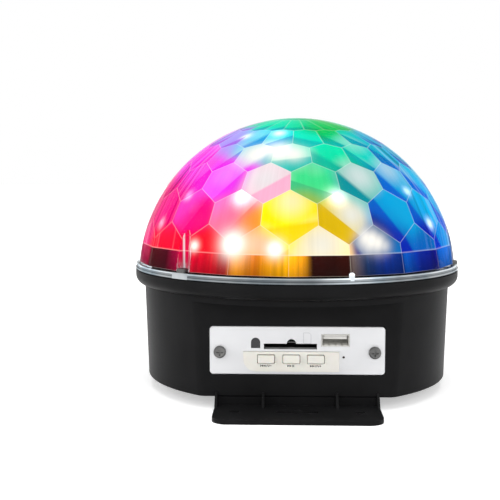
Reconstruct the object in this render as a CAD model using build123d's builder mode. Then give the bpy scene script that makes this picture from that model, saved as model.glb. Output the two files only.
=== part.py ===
"""Disco ball lamp: faceted clear dome on a black sound base with a turning lens wheel.

Millimetres. Origin on the dome's axis at the standing plane, front (control panel) towards -Y, +Z up.
"""

import os
from math import acos, cos, degrees, radians, sin, sqrt

from build123d import *

os.makedirs("parts", exist_ok=True)

# Main sizes
flange_radius = 85.0
flange_overhang = 4.8
wall_taper = 1.6
seam_z = 61.5
shoulder_drop = 7.5
ledge_drop = 10.3
base_floor_z = 5.9
base_edge_radius = 0.8
base_top_radius = flange_radius - flange_overhang
base_bottom_radius = base_top_radius - wall_taper
base_shoulder_z = seam_z - shoulder_drop
ledge_z = seam_z - ledge_drop
sweep = 2 * flange_radius
clearance = 0.3
running_clearance = 0.05

# Sockets, window and indicator, placed from the card slot
card_x = -3.15
card_z = 30.15
card_width = 25.0
card_height = 2.7
card_wall = 0.4
card_room = 0.3
card_length = 24.0
notch_shift = 0.45
notch_x = card_x + notch_shift
notch_radius = 2.2
usb_spacing = 2.1
usb_z = 33.2
usb_width = 13.1
usb_height = 5.7
usb_x = card_x + card_width / 2 + usb_spacing + usb_width / 2
usb_wall = 0.35
usb_length = 18.0
usb_proud = 0.3
usb_gap = 0.15
tongue_width = 11.1
tongue_height = 1.8
tongue_length = 9.0
tongue_lift = 1.1
usb_plug_depth = 6.0
window_spacing = 1.85
window_low_z = 29.3
window_width = 4.2
window_x = card_x - card_width / 2 - window_spacing - window_width / 2
window_straight = 2.8
window_gap = 0.1
window_flange = 0.5
window_flange_thickness = 1.0
receiver_width = 4.6
receiver_height = 5.0
led_x = 21.9
led_z = 25.1
pinhole_radius = 0.6
indicator_radius = 1.5
indicator_nose_radius = 0.5

# Panel, as wide as the sockets and the screws beside them need
window_room = 2.65
window_half_width = usb_x + usb_width / 2 + window_room
window_bottom_z = 17.8
window_top_z = 38.6
panel_side = 14.15
panel_half_width = window_half_width + panel_side
panel_bottom_z = 16.8
panel_top_z = 39.6
panel_corner = 1.7
panel_thickness = 1.2
panel_seat_clearance = 0.3
panel_bevel = 0.25
panel_screw_inset = 4.85
panel_screw_x = panel_half_width - panel_screw_inset
panel_screw_z = 27.5
panel_boss_radius = 3.4
panel_boss_depth = 7.0
panel_screw_reach = 8.0

# Flat front, cut where the base is as wide as the panel and its margins
flat_margin = 6.98
flat_half_width = panel_half_width + flat_margin
flat_y = -sqrt(base_top_radius**2 - flat_half_width**2)
flat_corner_radius = 6.0

# Shell thicknesses
shell = 2.5
flange_wall = 3.4
shoulder_wall = 0.6
rim_slope = 1.4
collar_setback = 9.0
collar_wall = 2.0
collar_rise = 12.0
shelf_width = 3.5
shelf_thickness = 2.0
cavity_bottom_radius = base_bottom_radius - shell
cavity_top_radius = base_top_radius - shell
cavity_top_z = base_shoulder_z - shoulder_wall
deck_z = seam_z - shell
cavity_rim_radius = flange_radius - flange_wall
cavity_rim_z = deck_z - rim_slope
collar_outer_radius = flange_radius - collar_setback
collar_inner_radius = collar_outer_radius - collar_wall
collar_top_z = seam_z + collar_rise
shelf_inner_radius = collar_inner_radius - shelf_width

# Dome
dome_setback = 1.6
dome_sink = 4.5
facet_depth = 4.0
facet_count = 18
facet_phase = -3.0
facet_rows = (12.2, 26.0, 39.2, 50.5, 62.0, 74.0)
blank_margin = 1.2
dome_tier_height = 1.4
dome_flange_height = 3.4
dome_tier_step = 0.6
dome_radius = flange_radius - dome_setback
dome_centre_z = seam_z - dome_sink
facet_distance = dome_radius - facet_depth
facet_blank_radius = dome_radius + blank_margin
dome_tier_radius = flange_radius - dome_tier_step
dome_bed_radius = collar_outer_radius + clearance

# Dome screws in their driver channels
channel_angles = (-41.5, 78.5, 198.5)
channel_inset = 3.2
channel_orbit = flange_radius - channel_inset
channel_radius = 3.5
channel_height = 24.0
channel_wall = 1.4
nub_angles = (17.0, 137.0, 257.0)
nub_inset = 1.9
nub_orbit = flange_radius - nub_inset
nub_radius = 1.75
nub_height = 4.2
screw_hole_radius = 1.7
screw_shank_radius = 1.5
screw_head_radius = 2.9
screw_head_height = 1.9
recess_width = 0.8
recess_length = 3.2
recess_depth = 1.1
dome_screw_reach = 8.4
dome_boss_radius = 3.4
dome_boss_height = 3.3

# Board behind the panel, between the panel's screw bosses
board_setback = 7.0
board_thickness = 1.6
board_side_gap = 0.1
board_half_width = panel_screw_x - panel_boss_radius - board_side_gap
board_y = flat_y + board_setback
board_bottom_z = panel_bottom_z
board_top_z = panel_top_z
stake_inset = 2.6
stake_x = board_half_width - stake_inset
stake_low_z = 19.5
stake_high_z = 36.0
stake_radius = 2.2
stake_pin_radius = 1.0
stake_head_radius = 1.8
stake_head_height = 0.8

# Buttons
button_xs = (-14.6, -2.7, 8.8)
button_z = 24.3
button_width = 7.8
button_height = 3.8
button_corner = 0.5
button_proud = 2.0
button_face_y = flat_y - button_proud
button_lip = 0.9
button_lip_thickness = 0.8
button_edge = 0.3
stem_radius = 1.2
switch_size = 6.0
switch_depth = 2.5
plunger_radius = 1.6
plunger_reach = 0.9
plunger_inside = 0.7
switch_bore_depth = 1.8

# Bezel round the buttons
bezel_left_x = -25.4
bezel_right_x = 19.8
bezel_bottom_z = 18.3
bezel_top_z = 27.7
bezel_proud = 0.9
bezel_front_y = flat_y - bezel_proud
bezel_large_corner = 6.0
bezel_flange = 0.9
bezel_flange_thickness = 1.0
bezel_leg_size = 1.6
bezel_leg_xs = (-22.0, 14.8)

# Speaker
speaker_share = 0.445
speaker_radius = -flat_y * speaker_share
speaker_rim_thickness = 1.6
speaker_rim_width = 3.5
basket_height = 12.7
basket_lean = 8.0
basket_wall = 1.4
magnet_overhang = 0.5
magnet_height = 10.5
cone_surround = 3.9
cone_rise = 2.4
cone_thickness = 0.8
coil_radius = 8.0
neck_ledge = 1.0
basket_low_radius = speaker_radius - speaker_rim_width
basket_top_radius = basket_low_radius - basket_lean
magnet_radius = basket_top_radius + magnet_overhang
cone_bend_radius = basket_low_radius - cone_surround
cone_neck_radius = coil_radius + neck_ledge

# Bottom cover and standing ring
cover_thickness = 2.4
cover_gap = 0.3
ring_share = 0.6875
ring_width = 7.0
ring_outer_radius = -flat_y * ring_share
ring_inner_radius = ring_outer_radius - ring_width
pedestal_z = 1.6
ring_margin = 0.6
vent_width = 12.0
grille_rings = 4
grille_margin = 2.6
grille_spacing = (basket_low_radius - grille_margin) / grille_rings
grille_hole_radius = 1.7
cover_screw_inset = 5.1
cover_screw_orbit = cavity_bottom_radius - cover_screw_inset
cover_boss_radius = 6.2
cover_boss_land = 0.9
cover_boss_reach = -flat_y - shell - cover_boss_radius - cover_boss_land
front_angle = degrees(acos(cover_boss_reach / cover_screw_orbit))
cover_screw_angles = (front_angle, 180 - front_angle, 180 + front_angle, 360 - front_angle)
cover_boss_height = 22.0
cover_screw_reach = 12.0
counterbore_radius = 3.2
counterbore_depth = 1.0

# Mounting foot
foot_inset = 2.5
foot_half_width = panel_half_width - foot_inset
foot_reach = 28.0
foot_thickness = 2.0
foot_corner = 7.0
foot_tongue_gap = 3.0
gusset_thickness = 1.2
gusset_end_x = foot_half_width - gusset_thickness / 2
gusset_left_x = -16.0
gusset_right_x = 18.9
gusset_xs = (-gusset_end_x, gusset_left_x, gusset_right_x, gusset_end_x)
gusset_top_z = 8.1
gusset_reach = 6.2
gusset_land = 0.8
keyhole_setback = 12.5
keyhole_radius = 3.2
keyhole_slot_length = 19.6
slot_width = 3.2
side_slot_x = 29.0
side_slot_length = 4.6
foot_screw_x = 27.0
foot_screw_reach = 10.0
foot_boss_radius = 3.6
foot_boss_height = 8.0
foot_front_y = flat_y - foot_reach
foot_wall_rear_y = flat_y + foot_thickness
foot_tongue_rear_y = -ring_outer_radius - foot_tongue_gap
foot_screw_y = (foot_wall_rear_y + foot_tongue_rear_y) / 2
keyhole_y = flat_y - keyhole_setback

# Power board and its parts
jack_width = 9.0
jack_length = 13.9
jack_gap = 1.7
jack_height = 11.0
jack_nose_radius = 4.2
jack_nose_length = 4.6
jack_bore_radius = 2.8
jack_bore_depth = 9.5
jack_pin_radius = 1.0
jack_hole_radius = 4.5
jack_back_y = cavity_bottom_radius - jack_gap
jack_front_y = jack_back_y - jack_length
jack_nose_y = jack_back_y + jack_nose_length
power_board_half_width = 27.0
power_board_depth = 34.0
power_board_overlap = 7.5
power_board_rear_y = jack_front_y + power_board_overlap
power_board_front_y = power_board_rear_y - power_board_depth
power_board_z = 14.0
power_post_radius = 2.8
power_post_inset = 3.6
transformer_x = -13.0
transformer_inset = 11.0
transformer_y = power_board_front_y + transformer_inset
transformer_size = 16.0
transformer_height = 13.0
transformer_flange = 2.0
capacitor_x = 9.0
capacitor_inset = 10.0
capacitor_y = power_board_front_y + capacitor_inset
capacitor_radius = 4.0
capacitor_height = 14.0

# Turning lens wheel
motor_radius = 12.5
motor_height = 20.0
motor_boss_radius = 4.0
motor_boss_height = 1.5
motor_ear_reach = 17.5
motor_ear_radius = 3.6
motor_ear_thickness = 1.6
shaft_radius = 1.5
shaft_inside = 12.0
wheel_rise = 18.5
wheel_gap = 12.0
wheel_z = seam_z + wheel_rise
wheel_radius = collar_inner_radius - wheel_gap
wheel_thickness = 2.2
wheel_lip_height = 4.4
wheel_lip_width = 1.8
hub_radius = 5.0
hub_drop = 4.0
hub_rise = 7.0
hub_low_z = wheel_z - hub_drop
hub_top_z = wheel_z + hub_rise
bump_shares = (0.84, 0.59, 0.32)
bump_counts = (15, 11, 6)
bump_sphere_radius = 7.2
bump_height = 3.4
hub_cap_radius = 3.6
hub_cap_height = 2.0
shaft_end_rise = 0.8

# Light engine
heat_plate_radius = collar_inner_radius - clearance
heat_plate_thickness = 2.0
heat_plate_hole_radius = 4.5
led_count = 6
led_spread = 1.0
led_orbit = wheel_radius / 2 + led_spread
led_size = 5.0
led_base_height = 1.0
led_dome_radius = 2.2
led_board_margin = 14.0
led_board_outer_radius = led_orbit + led_board_margin
led_board_inner_radius = 10.0
led_board_thickness = 1.6
lens_foot_radius = 6.2
lens_top_radius = 10.5
lens_height = 12.0
lens_pocket_radius = 4.2
lens_pocket_depth = 4.0
lens_dish_radius = 6.0
lens_dish_depth = 2.5

# Values that follow from the sizes above
panel_back_y = flat_y + panel_thickness
inner_flat_y = flat_y + shell
cover_top_z = base_floor_z + cover_thickness
basket_top_z = cover_top_z + basket_height
cone_low_z = cover_top_z + cone_rise
cone_top_z = basket_top_z - cone_rise
board_back_y = board_y + board_thickness
panel_mid_z = (panel_bottom_z + panel_top_z) / 2
panel_height = panel_top_z - panel_bottom_z
dome_flange_z = seam_z + dome_flange_height
heat_plate_top_z = deck_z + heat_plate_thickness
led_board_top_z = heat_plate_top_z + led_board_thickness
tongue_z = usb_z + tongue_lift
bezel_mid_x = (bezel_left_x + bezel_right_x) / 2
bezel_mid_z = (bezel_bottom_z + bezel_top_z) / 2
bezel_width = bezel_right_x - bezel_left_x
bezel_height = bezel_top_z - bezel_bottom_z
jack_z = power_board_z + board_thickness + jack_height / 2


def spot(orbit, angle):
    """A place round the axis, the angle counted from the front towards +X."""
    return orbit * sin(radians(angle)), -orbit * cos(radians(angle))


# Hollow of the base, taken out of the housing below
with BuildPart() as hollow:
    with BuildSketch(Plane.XZ) as hollow_section:
        with BuildLine():
            Polyline(
                (0, base_floor_z),
                (cavity_bottom_radius, base_floor_z),
                (cavity_top_radius, cavity_top_z),
                (cavity_rim_radius, cavity_rim_z),
                (cavity_rim_radius, deck_z),
                (collar_inner_radius, deck_z),
                (collar_inner_radius, collar_top_z),
                (0, collar_top_z),
                close=True,
            )
        make_face()
    revolve(axis=Axis.Z)
    with BuildSketch(Plane.XY.offset(base_floor_z)) as hollow_front:
        with Locations((0, inner_flat_y - sweep / 2)):
            Rectangle(2 * sweep, sweep)
    extrude(amount=ledge_z + shell - base_floor_z, mode=Mode.SUBTRACT)

# Black housing: tapered wall, rounded flange, flat front under a ledge, collar, screw bosses
with BuildPart() as base_housing:
    with BuildSketch(Plane.XZ) as housing_section:
        with BuildLine():
            Polyline((base_top_radius, base_shoulder_z), (base_bottom_radius, base_floor_z), (0, base_floor_z))
            Polyline((0, base_floor_z), (0, seam_z), (flange_radius, seam_z))
            Line(
                (flange_radius, seam_z),
                (flange_radius, base_shoulder_z + flange_radius - base_top_radius),
            )
            CenterArc(
                (base_top_radius, base_shoulder_z + flange_radius - base_top_radius),
                flange_radius - base_top_radius,
                -90,
                90,
            )
        make_face()
    revolve(axis=Axis.Z)
    # flat front below the ledge
    with BuildSketch(Plane.XY.offset(base_floor_z)) as flat_cut:
        with Locations((0, flat_y - sweep / 2)):
            Rectangle(2 * sweep, sweep)
    extrude(amount=ledge_z - base_floor_z, mode=Mode.SUBTRACT)
    flat_ends = base_housing.edges().filter_by(
        lambda e: abs(e.center().Y - flat_y) < base_edge_radius
        and abs(e.center().X) > panel_half_width
        and e.length > panel_height
    )
    fillet(flat_ends, radius=flat_corner_radius)
    fillet(base_housing.faces().sort_by(Axis.Z)[0].edges(), radius=base_edge_radius)
    add(hollow.part, mode=Mode.SUBTRACT)
    # collar and the shelf that carries the light engine
    with BuildSketch(Plane.XY.offset(seam_z)) as collar_ring:
        Circle(collar_outer_radius)
        Circle(collar_inner_radius, mode=Mode.SUBTRACT)
    extrude(amount=collar_top_z - seam_z)
    with BuildSketch(Plane.XY.offset(deck_z)) as shelf_ring:
        Circle(collar_inner_radius + shelf_thickness)
        Circle(shelf_inner_radius, mode=Mode.SUBTRACT)
    extrude(amount=-shelf_thickness)
    # bosses under the deck for the dome screws
    with BuildSketch(Plane.XY.offset(deck_z)) as dome_bosses:
        with Locations(*[spot(channel_orbit - screw_shank_radius, a) for a in channel_angles]):
            Circle(dome_boss_radius)
        Circle(shelf_inner_radius, mode=Mode.SUBTRACT)
    extrude(amount=-dome_boss_height)
    with BuildSketch(Plane.XY.offset(seam_z)) as dome_screw_holes:
        with Locations(*[spot(channel_orbit, a) for a in channel_angles]):
            Circle(screw_shank_radius)
    extrude(amount=-(dome_screw_reach - dome_flange_height), mode=Mode.SUBTRACT)
    # corner bosses for the cover screws
    with BuildSketch(Plane.XY.offset(cover_top_z)) as cover_bosses:
        with Locations(*[spot(cover_screw_orbit, a) for a in cover_screw_angles]):
            Circle(cover_boss_radius)
    extrude(amount=cover_boss_height)
    with BuildSketch(Plane.XY.offset(cover_top_z)) as cover_screw_bores:
        with Locations(*[spot(cover_screw_orbit, a) for a in cover_screw_angles]):
            Circle(screw_shank_radius)
    extrude(amount=cover_screw_reach, mode=Mode.SUBTRACT)
    # panel seat, window and screw bosses
    with BuildSketch(Plane.XZ.offset(-flat_y)) as panel_seat:
        with Locations((0, panel_mid_z)):
            RectangleRounded(
                2 * (panel_half_width + panel_seat_clearance),
                panel_height + 2 * panel_seat_clearance,
                panel_corner,
            )
    extrude(amount=-panel_thickness, mode=Mode.SUBTRACT)
    with BuildSketch(Plane.XZ.offset(-inner_flat_y)) as panel_bosses:
        with Locations((-panel_screw_x, panel_screw_z), (panel_screw_x, panel_screw_z)):
            Circle(panel_boss_radius)
    extrude(amount=-panel_boss_depth)
    with BuildSketch(Plane.XZ.offset(-panel_back_y)) as panel_screw_bores:
        with Locations((-panel_screw_x, panel_screw_z), (panel_screw_x, panel_screw_z)):
            Circle(screw_shank_radius)
    extrude(amount=-(panel_screw_reach - panel_thickness), mode=Mode.SUBTRACT)
    with BuildSketch(Plane.XZ.offset(-flat_y)) as panel_window:
        with Locations((0, (window_bottom_z + window_top_z) / 2)):
            Rectangle(2 * window_half_width, window_top_z - window_bottom_z)
    extrude(amount=-2 * shell, mode=Mode.SUBTRACT)
    # posts with melted heads that hold the socket board
    stake_spots = [
        (x, z) for x in (-stake_x, stake_x) for z in (stake_low_z, stake_high_z)
    ]
    with BuildSketch(Plane.XZ.offset(-inner_flat_y)) as stake_posts:
        with Locations(*stake_spots):
            Circle(stake_radius)
    extrude(amount=-(board_y - inner_flat_y))
    with BuildSketch(Plane.XZ.offset(-board_y)) as stake_pins:
        with Locations(*stake_spots):
            Circle(stake_pin_radius)
    extrude(amount=-board_thickness)
    with BuildSketch(Plane.XZ.offset(-board_back_y)) as stake_heads:
        with Locations(*stake_spots):
            Circle(stake_head_radius)
    extrude(amount=-stake_head_height)
    # hole for the power inlet in the rear wall
    with BuildSketch(Plane.XZ.offset(-jack_back_y)) as jack_hole:
        with Locations((0, jack_z)):
            Circle(jack_hole_radius)
    extrude(amount=-sweep, mode=Mode.SUBTRACT)
base_housing.part.label = "base_housing"
export_step(base_housing.part, "parts/base_housing.step")

# Many-sided hollow of the dome: a blank cut by one plane for each facet
with BuildPart() as facet_core:
    with Locations((0, 0, seam_z)):
        Cylinder(facet_blank_radius, dome_radius, align=(Align.CENTER, Align.CENTER, Align.MIN))
    for row, elevation in enumerate(facet_rows):
        shift = facet_phase + (row % 2 + 1) * 180 / facet_count
        for step in range(facet_count):
            turn = radians(shift + step * 360 / facet_count)
            rise = radians(elevation)
            normal = (sin(turn) * cos(rise), -cos(turn) * cos(rise), sin(rise))
            split(
                bisect_by=Plane(
                    origin=(
                        normal[0] * facet_distance,
                        normal[1] * facet_distance,
                        dome_centre_z + normal[2] * facet_distance,
                    ),
                    z_dir=normal,
                ),
                keep=Keep.BOTTOM,
            )
    split(bisect_by=Plane.XY.offset(dome_centre_z + facet_distance), keep=Keep.BOTTOM)
    # the walls of the driver channels stay in the dome
    with BuildSketch(Plane.XY.offset(seam_z)) as channel_walls:
        with Locations(*[spot(channel_orbit, a) for a in channel_angles]):
            Circle(channel_radius + channel_wall)
    extrude(amount=channel_height + channel_wall, mode=Mode.SUBTRACT)
    with BuildSketch(Plane.XY.offset(seam_z)) as bed:
        Circle(facet_blank_radius)
        Circle(dome_bed_radius, mode=Mode.SUBTRACT)
    extrude(amount=dome_tier_height, mode=Mode.SUBTRACT)

# Clear dome: smooth outside, facets inside, two-tier flange, driver channels
with BuildPart() as dome:
    with BuildSketch(Plane.XZ) as dome_section:
        with BuildLine():
            flange_start = sqrt(dome_radius**2 - (dome_flange_z - dome_centre_z) ** 2)
            Polyline(
                (0, dome_centre_z + dome_radius),
                (0, seam_z),
                (flange_radius, seam_z),
                (flange_radius, seam_z + dome_tier_height),
                (dome_tier_radius, seam_z + dome_tier_height),
                (dome_tier_radius, dome_flange_z),
                (flange_start, dome_flange_z),
            )
            CenterArc(
                (0, dome_centre_z),
                dome_radius,
                90 - degrees(acos((dome_flange_z - dome_centre_z) / dome_radius)),
                degrees(acos((dome_flange_z - dome_centre_z) / dome_radius)),
            )
        make_face()
    revolve(axis=Axis.Z)
    # locating nubs on the flange, halfway between the screws
    with BuildSketch(Plane.XY.offset(seam_z + dome_tier_height)) as nubs:
        with Locations(*[spot(nub_orbit, a) for a in nub_angles]):
            Circle(nub_radius)
    extrude(amount=nub_height)
    add(facet_core.part, mode=Mode.SUBTRACT)
    with BuildSketch(Plane.XY.offset(dome_flange_z)) as channels:
        with Locations(*[spot(channel_orbit, a) for a in channel_angles]):
            Circle(channel_radius)
    extrude(amount=channel_height - dome_flange_height, mode=Mode.SUBTRACT)
    for a in channel_angles:
        with Locations((*spot(channel_orbit, a), seam_z + channel_height)):
            Sphere(channel_radius, mode=Mode.SUBTRACT)
    with BuildSketch(Plane.XY.offset(seam_z)) as flange_holes:
        with Locations(*[spot(channel_orbit, a) for a in channel_angles]):
            Circle(screw_hole_radius)
    extrude(amount=dome_flange_height, mode=Mode.SUBTRACT)
dome.part.label = "dome"
export_step(dome.part, "parts/dome.step")

# Pan-head screws that hold the dome down
for number, a in enumerate(channel_angles, 1):
    with BuildPart() as dome_screw:
        with BuildSketch(Plane.XY.offset(dome_flange_z)) as head:
            with Locations(spot(channel_orbit, a)):
                Circle(screw_head_radius)
        extrude(amount=screw_head_height)
        fillet(dome_screw.faces().sort_by(Axis.Z)[-1].edges(), radius=recess_width)
        with BuildSketch(Plane.XY.offset(dome_flange_z)) as shank:
            with Locations(spot(channel_orbit, a)):
                Circle(screw_shank_radius)
        extrude(amount=-dome_screw_reach)
        with BuildSketch(Plane.XY.offset(dome_flange_z + screw_head_height)) as cross:
            with Locations(spot(channel_orbit, a)):
                Rectangle(recess_length, recess_width)
                Rectangle(recess_width, recess_length)
        extrude(amount=-recess_depth, mode=Mode.SUBTRACT)
    dome_screw.part.label = f"dome_screw_{number}"
    export_step(dome_screw.part, f"parts/dome_screw_{number}.step")

# Bottom cover with pedestal, grille, posts and bosses
with BuildPart() as bottom_cover:
    with BuildSketch(Plane.XY.offset(base_floor_z)) as cover_plate:
        Circle(cavity_bottom_radius - cover_gap)
        with Locations((0, inner_flat_y + cover_gap - sweep / 2)):
            Rectangle(2 * sweep, sweep, mode=Mode.SUBTRACT)
    extrude(amount=cover_thickness)
    with BuildSketch(Plane.XY.offset(pedestal_z)) as pedestal:
        Circle(ring_outer_radius)
        Circle(ring_inner_radius, mode=Mode.SUBTRACT)
    extrude(amount=base_floor_z - pedestal_z)
    with BuildSketch(Plane.XY.offset(base_floor_z)) as vents:
        Rectangle(2 * sweep, vent_width)
        Rectangle(vent_width, 2 * sweep)
        with Locations((0, foot_tongue_rear_y)):
            Rectangle(vent_width, ring_outer_radius, mode=Mode.SUBTRACT)
    extrude(amount=-(base_floor_z - pedestal_z - ring_margin), mode=Mode.SUBTRACT)
    with BuildSketch(Plane.XY.offset(base_floor_z)) as grille:
        Circle(grille_hole_radius)
        for ring in range(1, grille_rings + 1):
            with PolarLocations(ring * grille_spacing, 6 * ring):
                Circle(grille_hole_radius)
    extrude(amount=cover_thickness, mode=Mode.SUBTRACT)
    # posts for the power board and bosses for the foot screws
    with BuildSketch(Plane.XY.offset(cover_top_z)) as board_posts:
        with Locations(
            *[
                (x, y)
                for x in (-power_board_half_width + power_post_inset, power_board_half_width - power_post_inset)
                for y in (power_board_front_y + power_post_inset, power_board_rear_y - power_post_inset)
            ]
        ):
            Circle(power_post_radius)
    extrude(amount=power_board_z - cover_top_z)
    with BuildSketch(Plane.XY.offset(cover_top_z)) as foot_bosses:
        with Locations((-foot_screw_x, foot_screw_y), (foot_screw_x, foot_screw_y)):
            Circle(foot_boss_radius)
    extrude(amount=foot_boss_height)
    with BuildSketch(Plane.XY.offset(base_floor_z)) as foot_bores:
        with Locations((-foot_screw_x, foot_screw_y), (foot_screw_x, foot_screw_y)):
            Circle(screw_shank_radius)
    extrude(amount=foot_screw_reach - foot_thickness, mode=Mode.SUBTRACT)
    with BuildSketch(Plane.XY.offset(base_floor_z)) as cover_holes:
        with Locations(*[spot(cover_screw_orbit, a) for a in cover_screw_angles]):
            Circle(screw_hole_radius)
    extrude(amount=cover_thickness, mode=Mode.SUBTRACT)
    with BuildSketch(Plane.XY.offset(base_floor_z)) as cover_counterbores:
        with Locations(*[spot(cover_screw_orbit, a) for a in cover_screw_angles]):
            Circle(counterbore_radius)
    extrude(amount=counterbore_depth, mode=Mode.SUBTRACT)
bottom_cover.part.label = "bottom_cover"
export_step(bottom_cover.part, "parts/bottom_cover.step")

# Screws that hold the cover, driven from below
for number, a in enumerate(cover_screw_angles, 1):
    with BuildPart() as cover_screw:
        seat_z = base_floor_z + counterbore_depth
        with BuildSketch(Plane.XY.offset(seat_z)) as head:
            with Locations(spot(cover_screw_orbit, a)):
                Circle(screw_head_radius)
        extrude(amount=-screw_head_height)
        fillet(cover_screw.faces().sort_by(Axis.Z)[0].edges(), radius=recess_width)
        with BuildSketch(Plane.XY.offset(seat_z)) as shank:
            with Locations(spot(cover_screw_orbit, a)):
                Circle(screw_shank_radius)
        extrude(amount=cover_screw_reach)
        with BuildSketch(Plane.XY.offset(seat_z - screw_head_height)) as cross:
            with Locations(spot(cover_screw_orbit, a)):
                Rectangle(recess_length, recess_width)
                Rectangle(recess_width, recess_length)
        extrude(amount=recess_depth, mode=Mode.SUBTRACT)
    cover_screw.part.label = f"cover_screw_{number}"
    export_step(cover_screw.part, f"parts/cover_screw_{number}.step")

# Rubber standing ring
with BuildPart() as foot_ring:
    with BuildSketch(Plane.XY) as ring_section:
        Circle(ring_outer_radius - ring_margin)
        Circle(ring_inner_radius + ring_margin, mode=Mode.SUBTRACT)
    extrude(amount=pedestal_z)
foot_ring.part.label = "foot_ring"
export_step(foot_ring.part, "parts/foot_ring.step")

# Mounting foot: tongue under the cover, short wall, keyhole plate and gussets
with BuildPart() as mounting_foot:
    with BuildSketch(Plane.YZ) as foot_section:
        with BuildLine():
            Polyline(
                (foot_front_y, 0),
                (foot_wall_rear_y, 0),
                (foot_wall_rear_y, base_floor_z - foot_thickness),
                (foot_tongue_rear_y, base_floor_z - foot_thickness),
                (foot_tongue_rear_y, base_floor_z),
                (flat_y, base_floor_z),
                (flat_y, foot_thickness),
                (foot_front_y, foot_thickness),
                close=True,
            )
        make_face()
    extrude(amount=foot_half_width, both=True)
    front_corners = (
        mounting_foot.edges()
        .filter_by(Axis.Z)
        .filter_by(lambda e: e.center().Y < foot_front_y + foot_thickness)
    )
    fillet(front_corners, radius=foot_corner)
    for x in gusset_xs:
        with BuildSketch(Plane.YZ.offset(x)) as gusset:
            with BuildLine():
                Polyline(
                    (flat_y, foot_thickness),
                    (flat_y, gusset_top_z),
                    (flat_y - gusset_land, gusset_top_z),
                    (flat_y - gusset_reach, foot_thickness),
                    close=True,
                )
            make_face()
        extrude(amount=gusset_thickness / 2, both=True)
    with BuildSketch(Plane.XY) as foot_slots:
        with Locations((0, keyhole_y)):
            Circle(keyhole_radius)
            SlotOverall(keyhole_slot_length, slot_width)
        with Locations((-side_slot_x, keyhole_y), (side_slot_x, keyhole_y)):
            SlotOverall(side_slot_length, slot_width)
    extrude(amount=foot_thickness, mode=Mode.SUBTRACT)
    with BuildSketch(Plane.XY.offset(base_floor_z)) as foot_holes:
        with Locations((-foot_screw_x, foot_screw_y), (foot_screw_x, foot_screw_y)):
            Circle(screw_hole_radius)
    extrude(amount=-foot_thickness, mode=Mode.SUBTRACT)
mounting_foot.part.label = "mounting_foot"
export_step(mounting_foot.part, "parts/mounting_foot.step")

for name, x in (("foot_screw_l", -foot_screw_x), ("foot_screw_r", foot_screw_x)):
    with BuildPart() as foot_screw:
        seat_z = base_floor_z - foot_thickness
        with BuildSketch(Plane.XY.offset(seat_z)) as head:
            with Locations((x, foot_screw_y)):
                Circle(screw_head_radius)
        extrude(amount=-screw_head_height)
        fillet(foot_screw.faces().sort_by(Axis.Z)[0].edges(), radius=recess_width)
        with BuildSketch(Plane.XY.offset(seat_z)) as shank:
            with Locations((x, foot_screw_y)):
                Circle(screw_shank_radius)
        extrude(amount=foot_screw_reach)
        with BuildSketch(Plane.XY.offset(seat_z - screw_head_height)) as cross:
            with Locations((x, foot_screw_y)):
                Rectangle(recess_length, recess_width)
                Rectangle(recess_width, recess_length)
        extrude(amount=recess_depth, mode=Mode.SUBTRACT)
    foot_screw.part.label = name
    export_step(foot_screw.part, f"parts/{name}.step")

# Speaker: basket with rim, paper cone, magnet
with BuildPart() as speaker_basket:
    with BuildSketch(Plane.XZ) as basket_section:
        with BuildLine():
            Polyline(
                (speaker_radius, cover_top_z),
                (speaker_radius, cover_top_z + speaker_rim_thickness),
                (basket_low_radius + basket_wall, cover_top_z + speaker_rim_thickness),
                (basket_top_radius + basket_wall, basket_top_z),
                (coil_radius, basket_top_z),
                (coil_radius, basket_top_z - basket_wall),
                (basket_top_radius, basket_top_z - basket_wall),
                (basket_low_radius, cover_top_z + speaker_rim_thickness),
                (basket_low_radius, cover_top_z),
                close=True,
            )
        make_face()
    revolve(axis=Axis.Z)
speaker_basket.part.label = "speaker_basket"
export_step(speaker_basket.part, "parts/speaker_basket.step")

with BuildPart() as speaker_cone:
    with BuildSketch(Plane.XZ) as cone_section:
        with BuildLine():
            Polyline(
                (0, cone_top_z - cone_thickness),
                (cone_neck_radius, cone_top_z - cone_thickness),
                (cone_bend_radius, cone_low_z - cone_thickness),
                (basket_low_radius, cone_low_z - cone_thickness - cone_thickness),
                (basket_low_radius, cone_low_z - cone_thickness),
                (cone_bend_radius, cone_low_z),
                (cone_neck_radius, cone_top_z),
                (0, cone_top_z),
                close=True,
            )
        make_face()
    revolve(axis=Axis.Z)
speaker_cone.part.label = "speaker_cone"
export_step(speaker_cone.part, "parts/speaker_cone.step")

with BuildPart() as speaker_magnet:
    with BuildSketch(Plane.XY.offset(basket_top_z)) as magnet_section:
        Circle(magnet_radius)
    extrude(amount=magnet_height)
    chamfer(speaker_magnet.faces().sort_by(Axis.Z)[-1].edges(), length=cone_thickness)
speaker_magnet.part.label = "speaker_magnet"
export_step(speaker_magnet.part, "parts/speaker_magnet.step")

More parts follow.
